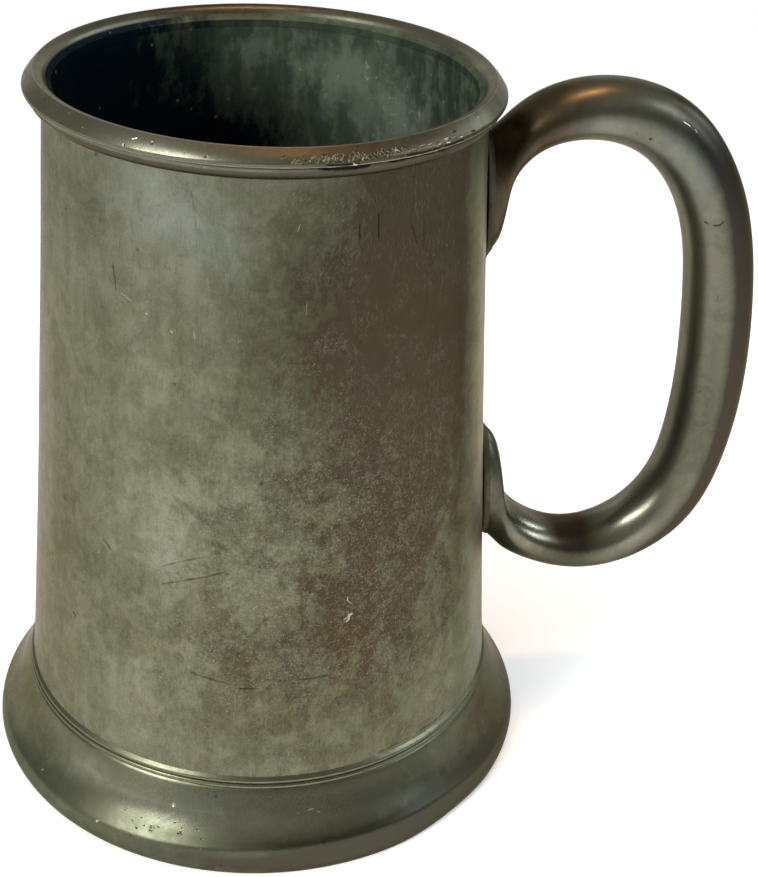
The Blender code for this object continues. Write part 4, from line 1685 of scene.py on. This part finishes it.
        # Painted shade and reflection: the outside of the grip darkened and browned for a dark reflection,
        # and the roots darkened where they meet the drum, most under the lip; the heel, the grip and the
        # lower arm are a little darker and the shoulder bluer.
        outward = smooth_step(normals[:, 0], -0.12, 0.52) * smooth_step(out, 0.040, 0.058)
        shoulder = glow(places, (0.056, -0.004, 0.116), (0.016, 0.010, 0.014))
        heel = glow(places, (0.040, -0.001, 0.037), (0.005, 0.010, 0.006))
        gleam = glow(places, (0.050, -0.004, 0.039), (0.006, 0.006, 0.006))
        seat = glow(places, (0.031, -0.004, 0.039), (0.005, 0.005, 0.004))
        upper = smooth_step(up, 0.085, 0.105)
        root = (1.0 - smooth_step(out, LINE.axis + 0.046, LINE.axis + 0.058)) * (0.34 * upper + 0.12)
        lower = 1.0 - smooth_step(up, 0.055, 0.085)
        grip = smooth_step(up, 0.050, 0.062) * (1.0 - smooth_step(up, 0.095, 0.110))
        grip *= smooth_step(out, 0.040, 0.055)
        shade = 0.90 * outward + 0.04 * shoulder + root + 0.60 * heel + 0.16 * lower + 0.10 * grip
        keep(piece, "shade", shade)
        # gleam and seat are painted highlights, lightening the heel and the lower seat.
        keep(piece, "lift", 0.60 * gleam + 0.60 * seat)
        keep(piece, "cool", 0.75 * shoulder)
        keep(piece, "warm", 0.35 * outward * (1.0 - shoulder) + 1.5 * root * upper + 0.7 * heel)

    def dress(self, piece: Piece) -> None:
        """Finish it in pewter that the hand has polished."""
        finish = PewterFinish(
            "handle_patina", (0.280, 0.284, 0.230), (0.150, 0.150, 0.116), (0.050, 0.045, 0.036),
            shade=0.50, cloudiness=0.55, rough=0.25, dull=0.38, pits=0.3, relief=0.25,
        )
        finish_piece(piece, Slot.HANDLE, "handle", finish.make())


@dataclass
class Solder:
    """The four fillets of solder that hold the mug together.

    Attributes:
        handle: The handle whose seats two of them go round.
        leg: How far a fillet reaches along what it joins.
        climb: How far a seat's fillet climbs the handle.
        sag: How hollow a fillet's face is, as a share of the way to its corner.
        facets: Facets around a turned one.
    """

    handle: LoopHandle
    leg: float = 0.0010
    climb: float = 0.0015
    sag: float = 0.35
    facets: int = 256

    def seat(self, name: str, end: int) -> Piece:
        """The fillet round one seat of the handle.

        Args:
            name: The new piece's name.
            end: 0 for the upper seat and 1 for the lower.

        Returns:
            The fillet.
        """
        handle, last = self.handle, self.handle.last
        length = handle.track[-1] - handle.track[-2] if end else handle.track[1]
        steps = [self.climb / length * step / 4.0 for step in range(5)]
        rings = [handle.ring(abs(end * last - step), grow=LINE.gap) for step in steps]
        corner, top = rings[0], rings[-1]
        side = [self.on_drum(point) for point in handle.ring(end * last, grow=LINE.gap + self.leg)]
        for share in (0.25, 0.5, 0.75):
            hollow = self.sag * 4.0 * share * (1.0 - share)
            trio = zip(top, side, corner)
            rings.append([high.lerp(low, share).lerp(deep, hollow) for high, low, deep in trio])
        return lofted(name, [*rings, side])

    def on_drum(self, point: Vector) -> Vector:
        """The point moved straight in or out until it lies on the drum, less the joint gap."""
        flat = Vector((point.x - LINE.axis, point.y, 0.0)).normalized() * (LINE.radius(point.z) + LINE.gap)
        return Vector((flat.x + LINE.axis, flat.y, point.z))

    def corner(self, name: str, corner: Point, toe: Point, heel: Point) -> Piece:
        """A turned fillet in a corner, from its toe to its heel.

        Args:
            name: The new piece's name.
            corner: The corner that it fills.
            toe: Its first end.
            heel: Its other end.

        Returns:
            The fillet.
        """
        middle = ((toe[0] + heel[0]) / 2.0, (toe[1] + heel[1]) / 2.0)
        hollow = self.sag * math.hypot(middle[0] - corner[0], middle[1] - corner[1])
        return turned(name, [corner, *bowed(toe, heel, hollow, 6), heel], self.facets)

    def build(self) -> dict[str, Piece]:
        """Make all four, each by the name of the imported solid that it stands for.

        Returns:
            The fillets.
        """
        floor, leg, gap = LINE.base, self.leg, LINE.gap
        wall, raised = (LINE.radius(height) - LINE.wall - gap for height in (floor, floor + leg))
        under, shelf = LINE.floor_underside - gap, LINE.radius(floor) - FootRing.shelf_reach - gap
        cup = ((wall, floor), (raised, floor + leg), (wall - leg, floor))
        foot = ((shelf, under), (shelf - leg, under), (shelf, under - leg))
        return {
            "handle_upper_solder": self.seat("upper_seat_solder", 0),
            "handle_lower_solder": self.seat("lower_seat_solder", 1),
            "floor_solder": self.corner("cup_corner_solder", *cup),
            "foot_solder": self.corner("foot_corner_solder", *foot),
        }

    def dress(self, pieces: dict[str, Piece]) -> None:
        """Finish them in dull solder, darkened almost to the darkest patina as painted shade in the corners
        that they fill.

        Args:
            pieces: The fillets, by the names of their solids.
        """
        # Painted shade: shade=0.95 darkens the solder for the corners that it fills.
        finish = PewterFinish("solder_dull", shade=0.95, rough=0.42, dull=0.55, relief=0.5, pits=0.2)
        material = finish.make()
        for node, piece in pieces.items():
            finish_piece(piece, Slot.SOLDER, node, material)


@dataclass
class Studio:
    """A pale floor, dim flats round the front, soft lamps and the camera.

    Attributes:
        camera_place: Where the camera stands.
        yaw: Degrees that it looks from +Y towards +X.
        pitch: Degrees that it looks down.
        roll: Degrees that it leans.
        lens: Its focal length in millimetres, on a 36 mm sensor.
        plain: How brightly the world lights, where 1 is white.
        flats_radius: How far off the flats stand.
    """

    camera_place: tuple[float, float, float] = (-0.05196, -0.25326, 0.20859)
    yaw: float = 11.831
    pitch: float = 30.153
    roll: float = 3.150
    lens: float = 65.21
    plain: float = 0.78
    flats_radius: float = 2.0

    def camera(self) -> None:
        """Stand the camera where the picture was taken from."""
        yaw, pitch, roll = (math.radians(angle) for angle in (self.yaw, self.pitch, self.roll))
        ahead = Vector((math.sin(yaw) * math.cos(pitch), math.cos(yaw) * math.cos(pitch), -math.sin(pitch)))
        right = Vector((math.cos(yaw), -math.sin(yaw), 0.0))
        up = right.cross(ahead)
        level = math.cos(roll) * right + math.sin(roll) * up
        upright = math.cos(roll) * up - math.sin(roll) * right
        data = bpy.data.cameras.new("camera")
        data.sensor_width, data.lens = 36.0, self.lens
        data.clip_start, data.clip_end = 0.01, 20.0
        camera = bpy.data.objects.new("camera", data)
        turn = Matrix((level, upright, -ahead)).transposed().to_4x4()
        camera.matrix_world = Matrix.Translation(self.camera_place) @ turn
        bpy.context.scene.collection.objects.link(camera)
        bpy.context.scene.camera = camera

    def world(self) -> None:
        """White where it is seen, and a plain soft level where it lights."""
        sh = Shader(bpy.data.worlds.new("studio"))
        background = sh.tree.nodes["Background"]
        sh.feed(background.inputs["Color"], (1.0, 1.0, 1.0))
        sh.feed(background.inputs["Strength"], sh.shown().fade(0.0, 1.0, self.plain, 1.0))
        bpy.context.scene.world = sh.owner

    def floor(self) -> None:
        """A round pale floor, white where it is seen but for the mug's soft shadow."""
        circle = bpy.ops.mesh.primitive_circle_add
        floor = start_mesh("floor", circle, vertices=96, radius=4.0, fill_type="NGON")
        bpy.ops.mesh.inset(thickness=3.0)
        bpy.ops.object.mode_set(mode="OBJECT")
        sh = Shader(bpy.data.materials.new("floor_paper"))
        colour = sh.blend(sh.shown(), (0.80, 0.80, 0.79), (1.10, 1.10, 1.09))
        far = sh.add("VectorMath", {0: sh.place}, "Value", operation="LENGTH").fade(0.16, 0.42)
        paper, white = sh.add("BsdfDiffuse", {"Color": colour}), sh.add("Emission", {})
        sh.show(sh.add("MixShader", {0: far * sh.shown(), 1: paper, 2: white}))
        floor.data.materials.append(sh.owner)

    def flats(self) -> None:
        """Dim flats round the front and over the top, which the metal shows and the camera doesn't."""
        radius, ball = self.flats_radius, bpy.ops.mesh.primitive_uv_sphere_add
        flats = start_mesh("flats", ball, segments=64, ring_count=32, radius=radius)
        mesh = bmesh.from_edit_mesh(flats.data)
        for face in mesh.faces:
            middle = face.calc_center_median()
            turn = math.degrees(math.atan2(middle.x, middle.y))
            behind = abs(turn - 5.0) < 38.0 and middle.z < 0.55 * radius
            face.select = behind or middle.z < 0.0
        bmesh.update_edit_mesh(flats.data)
        bpy.ops.mesh.delete(type="FACE")
        bpy.ops.object.mode_set(mode="OBJECT")
        sh = Shader(bpy.data.materials.new("flats_cloth"))
        side = sh.add("SeparateXYZ", {0: sh.place}, "X").fade(-radius, radius)
        high = sh.add("SeparateXYZ", {0: sh.place}, "Z").fade(0.1 * radius, 0.9 * radius)
        colour = sh.blend(side, (0.36, 0.37, 0.33), (0.20, 0.19, 0.17))
        sh.show(sh.add("Emission", {"Color": sh.blend(high, colour, (0.36, 0.33, 0.27))}))
        flats.data.materials.append(sh.owner)
        flats.visible_camera = flats.visible_diffuse = flats.visible_shadow = False

    def lamp(
        self,
        name: str,
        turn: float,
        rise: float,
        distance: float,
        size: Point,
        radiance: float,
        colour: Colour,
        reflected: bool = True,
    ) -> None:
        """Hang a soft rectangular lamp that faces the mug.

        Args:
            name: The lamp's name.
            turn: Degrees from +Y towards +X.
            rise: Degrees above the horizon.
            distance: From the middle of the mug.
            size: Width and height.
            radiance: How bright its face is, where 1 is white.
            colour: Its colour.
            reflected: Whether the metal shows it.
        """
        data = bpy.data.lights.new(name, "AREA")
        data.shape, data.size, data.size_y = "RECTANGLE", size[0], size[1]
        data.energy, data.color = radiance * math.pi * size[0] * size[1], colour
        lamp = bpy.data.objects.new(name, data)
        angle, height = math.radians(turn), math.radians(rise)
        away = Vector(
            (math.sin(angle) * math.cos(height), math.cos(angle) * math.cos(height), math.sin(height))
        )
        lamp.location = Vector((LINE.axis, 0.0, 0.07)) + away * distance
        lamp.rotation_euler = away.to_track_quat("Z", "Y").to_euler()
        lamp.visible_camera, lamp.visible_glossy = False, reflected
        bpy.context.scene.collection.objects.link(lamp)

    def build(self) -> None:
        """Set up everything round the mug."""
        self.camera()
        self.world()
        self.floor()
        self.flats()
        self.lamp("window", -124.0, 32.0, 1.2, (0.42, 0.74), 9.5, (1.0, 0.985, 0.93))
        self.lamp("side_window", 107.0, 30.0, 1.2, (0.34, 0.46), 7.5, (0.84, 0.92, 1.0))
        self.lamp("far_window", 72.0, 24.0, 1.2, (0.28, 0.36), 8.0, (0.88, 0.93, 1.0))
        self.lamp("warm_lamp", 67.3, 82.5, 0.956, (0.08, 0.18), 44.0, (1.0, 0.48, 0.20))
        self.lamp("soft_box", -120.0, 48.0, 1.3, (0.8, 0.8), 1.6, (1.0, 0.99, 0.97), reflected=False)
        bpy.context.scene.view_settings.view_transform = "Standard"


def main() -> None:
    """Build the mug and its studio, and report each piece."""
    logging.basicConfig(level=logging.INFO, format="%(name)s: %(message)s")
    handle = LoopHandle()
    for part in (Drum(), RimMoulding(), FootRing(), CupFloor(), handle, Solder(handle)):
        part.dress(part.build())
    Studio().build()


if __name__ == "__main__":
    main()
